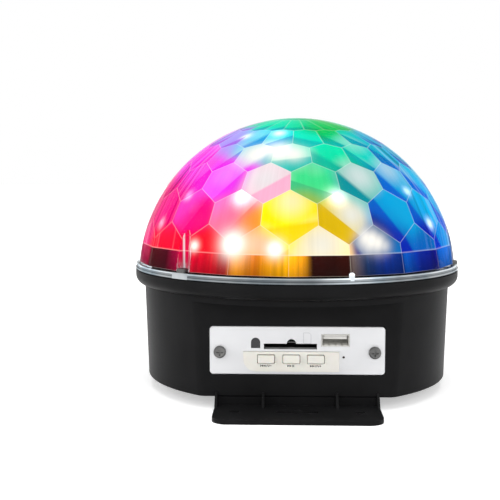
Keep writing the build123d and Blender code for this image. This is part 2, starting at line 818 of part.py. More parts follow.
# Silver panel with its openings
with BuildPart() as front_panel:
    with BuildSketch(Plane.XZ.offset(-flat_y)) as panel_outline:
        with Locations((0, panel_mid_z)):
            RectangleRounded(2 * panel_half_width, panel_height, panel_corner)
    extrude(amount=-panel_thickness)
    chamfer(front_panel.faces().sort_by(Axis.Y)[0].edges(), length=panel_bevel)
    with BuildSketch(Plane.XZ.offset(-flat_y)) as panel_openings:
        with Locations((-panel_screw_x, panel_screw_z), (panel_screw_x, panel_screw_z)):
            Circle(screw_hole_radius)
        with Locations((usb_x, usb_z)):
            Rectangle(usb_width + 2 * usb_gap, usb_height + 2 * usb_gap)
        with Locations((card_x, card_z)):
            Rectangle(card_width, card_height)
        with Locations((notch_x, card_z + card_height / 2)):
            Circle(notch_radius)
        with Locations((bezel_mid_x, bezel_mid_z)):
            Rectangle(bezel_width + 2 * window_gap, bezel_height + 2 * window_gap)
        with Locations((window_x, window_low_z + window_straight / 2)):
            Rectangle(window_width + 2 * window_gap, window_straight)
        with Locations((window_x, window_low_z + window_straight)):
            Circle(window_width / 2 + window_gap)
        with Locations((led_x, led_z)):
            Circle(pinhole_radius)
    extrude(amount=-panel_thickness, mode=Mode.SUBTRACT)
    # metal left in the lower left, where the bezel's corner is round
    with BuildSketch(Plane.XZ.offset(-flat_y)) as corner_fill:
        with Locations(
            (bezel_left_x + bezel_large_corner / 2, bezel_bottom_z + bezel_large_corner / 2)
        ):
            Rectangle(bezel_large_corner + 2 * window_gap, bezel_large_corner + 2 * window_gap)
        with Locations((bezel_left_x + bezel_large_corner, bezel_bottom_z + bezel_large_corner)):
            Circle(bezel_large_corner + window_gap, mode=Mode.SUBTRACT)
        with Locations(
            (
                bezel_left_x + bezel_large_corner + bezel_large_corner / 2,
                bezel_bottom_z + bezel_large_corner,
            )
        ):
            Rectangle(bezel_large_corner, 2 * bezel_large_corner + 2 * window_gap, mode=Mode.SUBTRACT)
        with Locations(
            (
                bezel_left_x + bezel_large_corner,
                bezel_bottom_z + bezel_large_corner + bezel_large_corner / 2,
            )
        ):
            Rectangle(2 * bezel_large_corner + 2 * window_gap, bezel_large_corner, mode=Mode.SUBTRACT)
    extrude(amount=-panel_thickness)
front_panel.part.label = "front_panel"
export_step(front_panel.part, "parts/front_panel.step")

for name, x in (("panel_screw_l", -panel_screw_x), ("panel_screw_r", panel_screw_x)):
    with BuildPart() as panel_screw:
        with BuildSketch(Plane.XZ.offset(-flat_y)) as head:
            with Locations((x, panel_screw_z)):
                Circle(screw_head_radius)
        extrude(amount=screw_head_height)
        fillet(panel_screw.faces().sort_by(Axis.Y)[0].edges(), radius=recess_width)
        with BuildSketch(Plane.XZ.offset(-flat_y)) as shank:
            with Locations((x, panel_screw_z)):
                Circle(screw_shank_radius)
        extrude(amount=-panel_screw_reach)
        with BuildSketch(Plane.XZ.offset(-flat_y + screw_head_height)) as cross:
            with Locations((x, panel_screw_z)):
                Rectangle(recess_length, recess_width)
                Rectangle(recess_width, recess_length)
        extrude(amount=-recess_depth, mode=Mode.SUBTRACT)
    panel_screw.part.label = name
    export_step(panel_screw.part, f"parts/{name}.step")

# Socket board behind the panel, cut out for both sockets
with BuildPart() as socket_board:
    with BuildSketch(Plane.XZ.offset(-board_y)) as board_outline:
        with Locations((0, (board_bottom_z + board_top_z) / 2)):
            Rectangle(2 * board_half_width, board_top_z - board_bottom_z)
        with Locations((usb_x, usb_z)):
            Rectangle(usb_width, usb_height, mode=Mode.SUBTRACT)
        with Locations((card_x, card_z)):
            Rectangle(
                card_width + 2 * card_room + 2 * card_wall,
                card_height + 2 * card_room + 2 * card_wall,
                mode=Mode.SUBTRACT,
            )
        with Locations(*stake_spots):
            Circle(stake_pin_radius, mode=Mode.SUBTRACT)
    extrude(amount=-board_thickness)
socket_board.part.label = "socket_board"
export_step(socket_board.part, "parts/socket_board.step")

# USB socket: folded metal shell, white core with tongue
with BuildPart() as usb_shell:
    with BuildSketch(Plane.XZ.offset(-flat_y + usb_proud)) as usb_outer:
        with Locations((usb_x, usb_z)):
            Rectangle(usb_width, usb_height)
            Rectangle(usb_width - 2 * usb_wall, usb_height - 2 * usb_wall, mode=Mode.SUBTRACT)
    extrude(amount=-usb_length)
usb_shell.part.label = "usb_shell"
export_step(usb_shell.part, "parts/usb_shell.step")

usb_back_y = flat_y - usb_proud + usb_length
with BuildPart() as usb_core:
    with BuildSketch(Plane.XZ.offset(-usb_back_y)) as core_block:
        with Locations((usb_x, usb_z)):
            Rectangle(usb_width - 2 * usb_wall, usb_height - 2 * usb_wall)
    extrude(amount=usb_plug_depth)
    with BuildSketch(Plane.XZ.offset(-(usb_back_y - usb_plug_depth))) as tongue:
        with Locations((usb_x, tongue_z)):
            Rectangle(tongue_width, tongue_height)
    extrude(amount=tongue_length)
usb_core.part.label = "usb_core"
export_step(usb_core.part, "parts/usb_core.step")

# Card socket: thin box open at the front
with BuildPart() as card_socket:
    with BuildSketch(Plane.XZ.offset(-panel_back_y)) as card_outer:
        with Locations((card_x, card_z)):
            Rectangle(
                card_width + 2 * card_room + 2 * card_wall,
                card_height + 2 * card_room + 2 * card_wall,
            )
    extrude(amount=-card_length)
    with BuildSketch(Plane.XZ.offset(-panel_back_y)) as card_space:
        with Locations((card_x, card_z)):
            Rectangle(card_width + 2 * card_room, card_height + 2 * card_room)
    extrude(amount=-(card_length - card_wall), mode=Mode.SUBTRACT)
card_socket.part.label = "card_socket"
export_step(card_socket.part, "parts/card_socket.step")

# Arched window for the receiver and the receiver itself
with BuildPart() as ir_window:
    with BuildSketch(Plane.XZ.offset(-flat_y)) as window_shape:
        with Locations((window_x, window_low_z + window_straight / 2)):
            Rectangle(window_width, window_straight)
        with Locations((window_x, window_low_z + window_straight)):
            Circle(window_width / 2)
    extrude(amount=-panel_thickness)
    with BuildSketch(Plane.XZ.offset(-panel_back_y)) as window_back:
        with Locations((window_x, window_low_z + window_straight / 2)):
            Rectangle(window_width + 2 * window_flange, window_straight + 2 * window_flange)
        with Locations((window_x, window_low_z + window_straight)):
            Circle(window_width / 2 + window_flange)
    extrude(amount=-window_flange_thickness)
ir_window.part.label = "ir_window"
export_step(ir_window.part, "parts/ir_window.step")

with BuildPart() as ir_receiver:
    with BuildSketch(Plane.XZ.offset(-board_y)) as receiver_body:
        with Locations((window_x, window_low_z + receiver_height / 2)):
            Rectangle(receiver_width, receiver_height)
    extrude(amount=board_y - panel_back_y - window_flange_thickness)
ir_receiver.part.label = "ir_receiver"
export_step(ir_receiver.part, "parts/ir_receiver.step")

with BuildPart() as status_led:
    with BuildSketch(Plane.XZ.offset(-board_y)) as indicator_body:
        with Locations((led_x, led_z)):
            Circle(indicator_radius)
    extrude(amount=board_y - panel_back_y)
    with BuildSketch(Plane.XZ.offset(-panel_back_y)) as indicator_nose:
        with Locations((led_x, led_z)):
            Circle(indicator_nose_radius)
    extrude(amount=panel_thickness - panel_bevel)
status_led.part.label = "status_led"
export_step(status_led.part, "parts/status_led.step")

# Cream bezel with the big rounded corner, slots for the buttons, flange and legs behind
with BuildPart() as button_bezel:
    with BuildSketch(Plane.XZ.offset(-bezel_front_y)) as bezel_shape:
        with Locations((bezel_mid_x, bezel_mid_z)):
            Rectangle(bezel_width, bezel_height)
        low_left = bezel_shape.vertices().sort_by(Axis.X)[:2].sort_by(Axis.Y)[0]
        fillet(low_left, radius=bezel_large_corner)
        with Locations(*[(x, button_z) for x in button_xs]):
            RectangleRounded(
                button_width + 2 * clearance, button_height + 2 * clearance, button_corner, mode=Mode.SUBTRACT
            )
    extrude(amount=-(panel_back_y - bezel_front_y))
    with BuildSketch(Plane.XZ.offset(-panel_back_y)) as bezel_back:
        with Locations((bezel_mid_x, bezel_mid_z)):
            Rectangle(bezel_width + 2 * bezel_flange, bezel_height + 2 * clearance)
        with Locations((led_x, led_z)):
            Circle(indicator_radius + clearance, mode=Mode.SUBTRACT)
        with Locations(*[(x, button_z) for x in button_xs]):
            RectangleRounded(
                button_width + 2 * clearance, button_height + 2 * clearance, button_corner, mode=Mode.SUBTRACT
            )
    extrude(amount=-bezel_flange_thickness)
    with BuildSketch(Plane.XZ.offset(-(panel_back_y + bezel_flange_thickness))) as bezel_legs:
        with Locations(*[(x, button_z) for x in bezel_leg_xs]):
            Rectangle(bezel_leg_size, bezel_leg_size)
    extrude(amount=-(board_y - panel_back_y - bezel_flange_thickness))
button_bezel.part.label = "button_bezel"
export_step(button_bezel.part, "parts/button_bezel.step")

# Three buttons with lips, the switch under each and its plunger
lip_y = panel_back_y + bezel_flange_thickness + clearance
switch_face_y = board_y - switch_depth
plunger_face_y = switch_face_y - plunger_reach
for name, x in zip(("prev", "play", "next"), button_xs):
    with BuildPart() as button:
        with BuildSketch(Plane.XZ.offset(-button_face_y)) as cap:
            with Locations((x, button_z)):
                RectangleRounded(button_width, button_height, button_corner)
        extrude(amount=-(lip_y - button_face_y))
        fillet(button.faces().sort_by(Axis.Y)[0].edges(), radius=button_edge)
        with BuildSketch(Plane.XZ.offset(-lip_y)) as lip:
            with Locations((x, button_z)):
                Rectangle(button_width + 2 * button_lip, button_height + 2 * button_lip)
        extrude(amount=-button_lip_thickness)
        with BuildSketch(Plane.XZ.offset(-(lip_y + button_lip_thickness))) as stem:
            with Locations((x, button_z)):
                Circle(stem_radius)
        extrude(amount=-(plunger_face_y - lip_y - button_lip_thickness))
    button.part.label = f"button_{name}"
    export_step(button.part, f"parts/button_{name}.step")
    with BuildPart() as switch:
        with BuildSketch(Plane.XZ.offset(-board_y)) as switch_body:
            with Locations((x, button_z)):
                Rectangle(switch_size, switch_size)
        extrude(amount=switch_depth)
        with BuildSketch(Plane.XZ.offset(-switch_face_y)) as switch_bore:
            with Locations((x, button_z)):
                Circle(plunger_radius + running_clearance)
        extrude(amount=-switch_bore_depth, mode=Mode.SUBTRACT)
    switch.part.label = f"switch_{name}"
    export_step(switch.part, f"parts/switch_{name}.step")
    with BuildPart() as plunger:
        with BuildSketch(Plane.XZ.offset(-plunger_face_y)) as plunger_round:
            with Locations((x, button_z)):
                Circle(plunger_radius)
        extrude(amount=-(plunger_reach + plunger_inside))
    plunger.part.label = f"plunger_{name}"
    export_step(plunger.part, f"parts/plunger_{name}.step")

# Power board on its posts, transformer, capacitors and the inlet
with BuildPart() as power_board:
    with BuildSketch(Plane.XY.offset(power_board_z)) as power_outline:
        with Locations((0, (power_board_front_y + power_board_rear_y) / 2)):
            Rectangle(2 * power_board_half_width, power_board_rear_y - power_board_front_y)
    extrude(amount=board_thickness)
power_board.part.label = "power_board"
export_step(power_board.part, "parts/power_board.step")

power_top_z = power_board_z + board_thickness
with BuildPart() as transformer:
    with BuildSketch(Plane.XY.offset(power_top_z)) as bobbin:
        with Locations((transformer_x, transformer_y)):
            Rectangle(transformer_size + transformer_flange, transformer_size)
    extrude(amount=transformer_flange)
    with BuildSketch(Plane.XY.offset(power_top_z + transformer_flange)) as winding:
        with Locations((transformer_x, transformer_y)):
            Circle(transformer_size / 2 - transformer_flange / 2)
    extrude(amount=transformer_height - 2 * transformer_flange)
    with BuildSketch(Plane.XY.offset(power_top_z + transformer_height)) as core_top:
        with Locations((transformer_x, transformer_y)):
            Rectangle(transformer_size + transformer_flange, transformer_size)
    extrude(amount=-transformer_flange)
transformer.part.label = "transformer"
export_step(transformer.part, "parts/transformer.step")

with BuildPart() as capacitor:
    with BuildSketch(Plane.XY.offset(power_top_z)) as can:
        with Locations((capacitor_x, capacitor_y)):
            Circle(capacitor_radius)
    extrude(amount=capacitor_height)
    fillet(capacitor.faces().sort_by(Axis.Z)[-1].edges(), radius=button_edge)
capacitor.part.label = "capacitor"
export_step(capacitor.part, "parts/capacitor.step")

with BuildPart() as dc_jack:
    with BuildSketch(Plane.XZ.offset(-jack_front_y)) as jack_body:
        with Locations((0, jack_z)):
            Rectangle(jack_width, jack_height)
    extrude(amount=-(jack_back_y - jack_front_y))
    with BuildSketch(Plane.XZ.offset(-jack_back_y)) as jack_nose:
        with Locations((0, jack_z)):
            Circle(jack_nose_radius)
    extrude(amount=-(jack_nose_y - jack_back_y))
    with BuildSketch(Plane.XZ.offset(-jack_nose_y)) as jack_bore:
        with Locations((0, jack_z)):
            Circle(jack_bore_radius)
    extrude(amount=jack_bore_depth, mode=Mode.SUBTRACT)
dc_jack.part.label = "dc_jack"
export_step(dc_jack.part, "parts/dc_jack.step")

with BuildPart() as dc_pin:
    with BuildSketch(Plane.XZ.offset(-(jack_nose_y - jack_bore_depth))) as pin_round:
        with Locations((0, jack_z)):
            Circle(jack_pin_radius)
    extrude(amount=-(jack_bore_depth - jack_pin_radius))
    fillet(dc_pin.faces().sort_by(Axis.Y)[-1].edges(), radius=button_edge)
dc_pin.part.label = "dc_pin"
export_step(dc_pin.part, "parts/dc_pin.step")

# Aluminium plate that carries the lights and, below it, the motor
with BuildPart() as heat_plate:
    with BuildSketch(Plane.XY.offset(deck_z)) as plate_round:
        Circle(heat_plate_radius)
        Circle(heat_plate_hole_radius, mode=Mode.SUBTRACT)
    extrude(amount=heat_plate_thickness)
heat_plate.part.label = "heat_plate"
export_step(heat_plate.part, "parts/heat_plate.step")

with BuildPart() as led_board:
    with BuildSketch(Plane.XY.offset(heat_plate_top_z)) as led_ring:
        Circle(led_board_outer_radius)
        Circle(led_board_inner_radius, mode=Mode.SUBTRACT)
    extrude(amount=led_board_thickness)
led_board.part.label = "led_board"
export_step(led_board.part, "parts/led_board.step")

# Six lights, each under its own beam lens
for number in range(1, led_count + 1):
    place = spot(led_orbit, (number - 1) * 360 / led_count)
    with BuildPart() as light:
        with BuildSketch(Plane.XY.offset(led_board_top_z)) as chip:
            with Locations(place):
                Rectangle(led_size, led_size)
        extrude(amount=led_base_height)
        with Locations((*place, led_board_top_z + led_base_height)):
            Sphere(led_dome_radius, arc_size1=0, align=(Align.CENTER, Align.CENTER, Align.NONE))
    light.part.label = f"light_{number}"
    export_step(light.part, f"parts/light_{number}.step")
    with BuildPart() as beam_lens:
        with BuildSketch(Plane.XZ) as lens_section:
            with BuildLine():
                Polyline(
                    (lens_pocket_radius, led_board_top_z),
                    (lens_foot_radius, led_board_top_z),
                    (lens_top_radius, led_board_top_z + lens_height),
                    (lens_dish_radius, led_board_top_z + lens_height),
                    (0, led_board_top_z + lens_height - lens_dish_depth),
                    (0, led_board_top_z + lens_pocket_depth),
                    (lens_pocket_radius, led_board_top_z + lens_pocket_depth),
                    close=True,
                )
            make_face()
        revolve(axis=Axis.Z)
    moved = Pos(place[0], place[1], 0) * beam_lens.part
    moved.label = f"beam_lens_{number}"
    export_step(moved, f"parts/beam_lens_{number}.step")

# Motor under the plate
with BuildPart() as motor:
    with BuildSketch(Plane.XY.offset(deck_z)) as motor_can:
        Circle(motor_radius)
    extrude(amount=-motor_height)
    chamfer(motor.faces().sort_by(Axis.Z)[0].edges(), length=cone_thickness)
    with BuildSketch(Plane.XY.offset(deck_z)) as motor_ears:
        with Locations((-motor_ear_reach, 0), (motor_ear_reach, 0)):
            Circle(motor_ear_radius)
        Rectangle(2 * motor_ear_reach, 2 * motor_ear_radius)
    extrude(amount=-motor_ear_thickness)
    with BuildSketch(Plane.XY.offset(deck_z)) as motor_boss:
        Circle(motor_boss_radius)
    extrude(amount=motor_boss_height)
    with BuildSketch(Plane.XY.offset(deck_z + motor_boss_height)) as motor_bore:
        Circle(shaft_radius + running_clearance)
    extrude(amount=-(shaft_inside + motor_boss_height + clearance), mode=Mode.SUBTRACT)
motor.part.label = "motor"
export_step(motor.part, "parts/motor.step")

# Shaft, lens wheel and the push-on cap that holds it
with BuildPart() as wheel_shaft:
    with BuildSketch(Plane.XY.offset(deck_z - shaft_inside)) as shaft_round:
        Circle(shaft_radius)
    extrude(amount=hub_top_z + hub_cap_height + shaft_end_rise - deck_z + shaft_inside)
wheel_shaft.part.label = "wheel_shaft"
export_step(wheel_shaft.part, "parts/wheel_shaft.step")

with BuildPart() as lens_wheel:
    with BuildSketch(Plane.XY.offset(wheel_z)) as wheel_disc:
        Circle(wheel_radius)
    extrude(amount=wheel_thickness)
    with BuildSketch(Plane.XY.offset(wheel_z)) as wheel_rim:
        Circle(wheel_radius)
        Circle(wheel_radius - wheel_lip_width, mode=Mode.SUBTRACT)
    extrude(amount=wheel_lip_height)
    with BuildSketch(Plane.XY.offset(hub_low_z)) as hub_round:
        Circle(hub_radius)
    extrude(amount=hub_top_z - hub_low_z)
    for share, count in zip(bump_shares, bump_counts):
        for step in range(count):
            x, y = spot(share * wheel_radius, step * 360 / count)
            sink = bump_sphere_radius - bump_height
            with Locations((x, y, wheel_z + wheel_thickness - sink)):
                Sphere(
                    bump_sphere_radius,
                    arc_size1=90 - degrees(acos(sink / bump_sphere_radius)),
                    align=(Align.CENTER, Align.CENTER, Align.NONE),
                )
    with BuildSketch(Plane.XY.offset(hub_low_z)) as hub_bore:
        Circle(shaft_radius)
    extrude(amount=hub_top_z - hub_low_z, mode=Mode.SUBTRACT)
lens_wheel.part.label = "lens_wheel"
export_step(lens_wheel.part, "parts/lens_wheel.step")

with BuildPart() as hub_cap:
    with BuildSketch(Plane.XY.offset(hub_top_z)) as cap_round:
        Circle(hub_cap_radius)
        Circle(shaft_radius, mode=Mode.SUBTRACT)
    extrude(amount=hub_cap_height)
hub_cap.part.label = "hub_cap"
export_step(hub_cap.part, "parts/hub_cap.step")
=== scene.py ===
"""Party lamp with a clear faceted dome on a black speaker base: its finishes, its light and the camera."""

import math

import bpy
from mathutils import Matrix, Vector


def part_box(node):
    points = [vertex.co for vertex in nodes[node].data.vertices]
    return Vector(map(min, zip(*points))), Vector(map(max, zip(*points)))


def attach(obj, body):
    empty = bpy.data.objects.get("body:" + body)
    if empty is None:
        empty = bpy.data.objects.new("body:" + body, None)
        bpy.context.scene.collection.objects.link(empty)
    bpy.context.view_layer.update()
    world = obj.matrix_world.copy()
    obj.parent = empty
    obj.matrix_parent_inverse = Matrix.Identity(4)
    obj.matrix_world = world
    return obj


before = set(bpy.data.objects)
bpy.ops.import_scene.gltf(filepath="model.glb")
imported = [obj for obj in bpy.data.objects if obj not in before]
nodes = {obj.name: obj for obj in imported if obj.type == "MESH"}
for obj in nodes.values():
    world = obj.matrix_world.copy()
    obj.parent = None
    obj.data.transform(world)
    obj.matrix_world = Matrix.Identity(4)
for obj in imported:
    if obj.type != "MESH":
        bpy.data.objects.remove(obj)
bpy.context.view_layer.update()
scene = bpy.context.scene
MM = 0.001


def box_mm(node):
    """A node's lowest and highest corner in millimetres."""
    return [Vector(corner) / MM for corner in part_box(node)]


# Node helpers
MATH = "ShaderNodeMath"
VECTOR_MATH = "ShaderNodeVectorMath"
MIX_FIRST, MIX_SECOND, MIX_RESULT = 6, 7, 2  # the colour sockets of a Mix node
NOISE_LOW, NOISE_HIGH = 0.3, 0.7  # nearly all of a noise lies between these
DRIFT_LOW, DRIFT_HIGH = 0.32, 0.68  # a finish drifts from one tone to the other between these
BLACK_TONE = (0.0, 0.0, 0.0)
WHITE_TONE = (1.0, 1.0, 1.0)


def start(name):
    """An empty Principled material: the material, its node tree and its shader."""
    made = bpy.data.materials.new(name)
    made.use_nodes = True
    tree = made.node_tree
    return made, tree, tree.nodes["Principled BSDF"]


def assign(node, **values):
    """Sets a node's own inputs; an underscore stands for a space."""
    for name, value in values.items():
        node.inputs[name.replace("_", " ")].default_value = value


def place(tree, stretch=(1, 1, 1)):
    """Object coordinates in metres, stretched along the three axes."""
    where = tree.nodes.new("ShaderNodeTexCoord")
    shape = tree.nodes.new("ShaderNodeMapping")
    assign(shape, Scale=stretch)
    tree.links.new(where.outputs["Object"], shape.inputs["Vector"])
    return shape.outputs["Vector"]


def parts_of(tree, vector):
    """A vector's three parts, as the outputs X, Y and Z."""
    made = tree.nodes.new("ShaderNodeSeparateXYZ")
    tree.links.new(vector, made.inputs["Vector"])
    return made.outputs


def computed(tree, kind, operation, *values):
    """The outputs of a node that computes; each value is a socket or a plain vector."""
    made = tree.nodes.new(kind)
    made.operation = operation
    for socket, value in zip(made.inputs, values):
        if isinstance(value, tuple):
            socket.default_value = value
        else:
            tree.links.new(value, socket)
    return made.outputs


def noise(tree, coords, scale, detail=3.0, rough=0.55):
    """Cloudy noise over the coordinates."""
    made = tree.nodes.new("ShaderNodeTexNoise")
    assign(made, Scale=scale, Detail=detail, Roughness=rough)
    tree.links.new(coords, made.inputs["Vector"])
    return made.outputs["Fac"]


def ramp(tree, value, stops):
    """A colour ramp over (position, colour) stops; a plain number is a grey."""
    made = tree.nodes.new("ShaderNodeValToRGB")
    band = made.color_ramp
    for index, (position, colour) in enumerate(stops):
        stop = band.elements[index] if index < 2 else band.elements.new(position)
        stop.position = position
        stop.color = (*colour, 1) if isinstance(colour, tuple) else (colour, colour, colour, 1)
    tree.links.new(value, made.inputs["Fac"])
    return made.outputs["Color"]


def between(tree, value, start_at, end_at, low=0.0, high=1.0):
    """A value spread from one range over another, held at both ends."""
    made = tree.nodes.new("ShaderNodeMapRange")
    assign(made, From_Min=start_at, From_Max=end_at, To_Min=low, To_Max=high)
    tree.links.new(value, made.inputs["Value"])
    return made.outputs["Result"]


def mixed(tree, share, first, second, blend="MIX"):
    """Two colours mixed by a share; each is a socket or a plain colour."""
    made = tree.nodes.new("ShaderNodeMix")
    made.data_type = "RGBA"
    made.blend_type = blend
    if isinstance(share, float):
        made.inputs["Factor"].default_value = share
    else:
        tree.links.new(share, made.inputs["Factor"])
    for index, colour in ((MIX_FIRST, first), (MIX_SECOND, second)):
        if isinstance(colour, tuple):
            made.inputs[index].default_value = (*colour, 1)
        else:
            tree.links.new(colour, made.inputs[index])
    return made.outputs[MIX_RESULT]


def relief(tree, shader, height, depth):
    """Fine bumps, as deep as the depth in metres."""
    made = tree.nodes.new("ShaderNodeBump")
    assign(made, Distance=depth)
    tree.links.new(height, made.inputs["Height"])
    tree.links.new(made.outputs["Normal"], shader.inputs["Normal"])


def finish(
    name, colour, other, rough, metal=0.0, stretch=(1, 1, 1), patch=90.0, grain=900.0, depth=1e-5, **sockets
):
    """A finish whose colour drifts between two tones in patches, with grain in roughness and relief."""
    made, tree, shader = start(name)
    coords = place(tree, stretch)
    drift = noise(tree, coords, patch)
    fine = noise(tree, coords, grain, detail=4.0, rough=0.6)
    tone = ramp(tree, drift, [(DRIFT_LOW, colour), (DRIFT_HIGH, other)])
    tree.links.new(tone, shader.inputs["Base Color"])
    tree.links.new(between(tree, fine, NOISE_LOW, NOISE_HIGH, *rough), shader.inputs["Roughness"])
    relief(tree, shader, fine, depth)
    assign(shader, Metallic=metal, **sockets)
    return made


def glowing(name, colour):
    """A lit die in its own colour, with a white grain."""
    made, tree, shader = start(name)
    grain = noise(tree, place(tree), scale=700.0)
    lit = ramp(tree, grain, [(0.35, colour), (0.75, WHITE_TONE)])
    tree.links.new(lit, shader.inputs["Emission Color"])
    tree.links.new(lit, shader.inputs["Base Color"])
    assign(shader, Emission_Strength=2.0, Roughness=0.3)
    return made


ACRYLIC_IOR = 1.49
DOME_IOR = 1.035  # low, so that the dome's wall hardly bends or mirrors what is round it
LET_THROUGH = 0.94  # share of a lamp's light that clear plastic passes on
SMUDGE = 1.6  # how many times as rough clear plastic gets in places


def clear(name, colour, rough, ior=ACRYLIC_IOR):
    """Clear plastic that lets lamps through, with faint flow lines."""
    made, tree, shader = start(name)
    coords = place(tree, stretch=(1, 1, 3))
    relief(tree, shader, noise(tree, coords, scale=60.0, detail=2.0), depth=2e-6)
    fine = noise(tree, coords, scale=500.0)
    roughness = between(tree, fine, NOISE_LOW, NOISE_HIGH, rough, rough * SMUDGE)
    tree.links.new(roughness, shader.inputs["Roughness"])
    assign(shader, Base_Color=(*colour, 1), Transmission_Weight=1.0, IOR=ior)
    path = tree.nodes.new("ShaderNodeLightPath")
    pass_on = tree.nodes.new("ShaderNodeBsdfTransparent")
    assign(pass_on, Color=(*[LET_THROUGH * c for c in colour], 1))
    choose = tree.nodes.new("ShaderNodeMixShader")
    tree.links.new(path.outputs["Is Shadow Ray"], choose.inputs["Fac"])
    tree.links.new(shader.outputs["BSDF"], choose.inputs[1])
    tree.links.new(pass_on.outputs["BSDF"], choose.inputs[2])
    tree.links.new(choose.outputs["Shader"], tree.nodes["Material Output"].inputs["Surface"])
    return made


# Finishes: two tones of a colour, the range of roughness, and what differs from a plain plastic
black = finish(
    "black_plastic_satin", (0.007, 0.007, 0.0074), (0.0105, 0.0105, 0.011), rough=(0.30, 0.38),
    patch=35.0, grain=1500.0, depth=4e-6, Specular_IOR_Level=0.06,
)
black_rough = finish(
    "black_plastic_plain", (0.012, 0.012, 0.012), (0.02, 0.02, 0.02), rough=(0.45, 0.6),
    grain=1200.0, depth=8e-6, Specular_IOR_Level=0.2,
)
dome_clear = clear("dome_plastic", (0.985, 0.99, 0.995), rough=0.01, ior=DOME_IOR)
lens_clear = clear("lens_plastic", (0.97, 0.98, 0.99), rough=0.03)
rubber = finish(
    "rubber", (0.012, 0.012, 0.012), (0.022, 0.021, 0.02), rough=(0.7, 0.9), grain=1400.0, depth=2e-5
)
screw_steel = finish(
    "screw_steel", (0.13, 0.13, 0.13), (0.22, 0.22, 0.215), rough=(0.3, 0.5),
    metal=1.0, grain=1600.0, depth=6e-6,
)
panel_paint = finish(
    "panel_silver_paint", (0.74, 0.745, 0.76), (0.80, 0.805, 0.82), rough=(0.32, 0.44),
    metal=0.2, stretch=(0.25, 1, 1), patch=50.0, grain=2600.0, depth=3e-6,
)
cream = finish(
    "cream_plastic", (0.80, 0.78, 0.71), (0.85, 0.83, 0.77), rough=(0.35, 0.5),
    grain=1500.0, depth=5e-6, Subsurface_Weight=0.1, Subsurface_Scale=0.001,
)
smoke = finish(
    "smoke_window", (0.008, 0.008, 0.012), (0.014, 0.012, 0.016), rough=(0.12, 0.2),
    depth=2e-6, Coat_Weight=0.4,
)
nickel = finish(
    "nickel_shell", (0.80, 0.79, 0.75), (0.88, 0.87, 0.84), rough=(0.35, 0.5),
    metal=0.5, stretch=(1, 0.2, 1), patch=200.0, grain=1800.0, depth=4e-6,
)
dark_steel = finish(
    "card_shell", (0.09, 0.09, 0.09), (0.16, 0.16, 0.155), rough=(0.35, 0.5),
    metal=0.7, stretch=(1, 0.3, 1), patch=260.0, grain=1500.0, depth=3e-6,
)
white_plastic = finish(
    "white_plastic", (0.82, 0.81, 0.78), (0.88, 0.87, 0.85), rough=(0.4, 0.55),
    grain=1200.0, depth=6e-6,
)
board_green = finish(
    "board_green", (0.012, 0.11, 0.04), (0.02, 0.17, 0.06), rough=(0.3, 0.45),
    patch=260.0, grain=1200.0,
)
board_white = finish(
    "board_white", (0.72, 0.73, 0.72), (0.8, 0.8, 0.79), rough=(0.35, 0.5),
    patch=180.0, grain=1100.0, depth=8e-6,
)
can_steel = finish(
    "motor_can", (0.35, 0.34, 0.33), (0.5, 0.49, 0.47), rough=(0.28, 0.42),
    metal=1.0, stretch=(1, 1, 0.15), patch=220.0, grain=1500.0, depth=8e-6,
)
aluminium = finish(
    "heat_plate", (0.66, 0.67, 0.68), (0.78, 0.79, 0.8), rough=(0.3, 0.42),
    metal=1.0, stretch=(0.1, 1, 1), patch=160.0, grain=1500.0, depth=6e-6,
)
basket = finish("basket_steel", (0.12, 0.12, 0.12), (0.2, 0.2, 0.2), rough=(0.4, 0.55), metal=0.8)
ferrite = finish(
    "magnet", (0.035, 0.035, 0.038), (0.06, 0.06, 0.062), rough=(0.5, 0.75), grain=1100.0, depth=2e-5
)
paper = finish(
    "paper_cone", (0.05, 0.045, 0.04), (0.09, 0.085, 0.075), rough=(0.75, 0.95),
    stretch=(1, 1, 3), grain=1300.0, depth=4e-5,
)
tape = finish(
    "yellow_tape", (0.7, 0.52, 0.06), (0.82, 0.63, 0.1), rough=(0.35, 0.5),
    stretch=(1, 1, 6), grain=500.0, depth=2e-5,
)
print_dark = finish(
    "printed_mark", (0.015, 0.015, 0.015), (0.03, 0.03, 0.03), rough=(0.5, 0.6),
    grain=3000.0, depth=1e-6,
)
print_grey = finish(
    "printed_outline", (0.50, 0.51, 0.53), (0.56, 0.57, 0.59), rough=(0.45, 0.55),
    grain=3000.0, depth=1e-6,
)
led_dark = finish("led_lens", (0.02, 0.006, 0.006), (0.03, 0.01, 0.009), rough=(0.1, 0.2), depth=1e-6)

AMBER = (1.0, 0.42, 0.02)
BLUE = (0.03, 0.12, 1.0)
GREEN = (0.05, 1.0, 0.25)
VIOLET = (0.55, 0.05, 1.0)
RED = (1.0, 0.03, 0.05)
WARM_WHITE = (1.0, 0.95, 0.85)
lamp_colours = (AMBER, BLUE, GREEN, VIOLET, RED, WARM_WHITE)

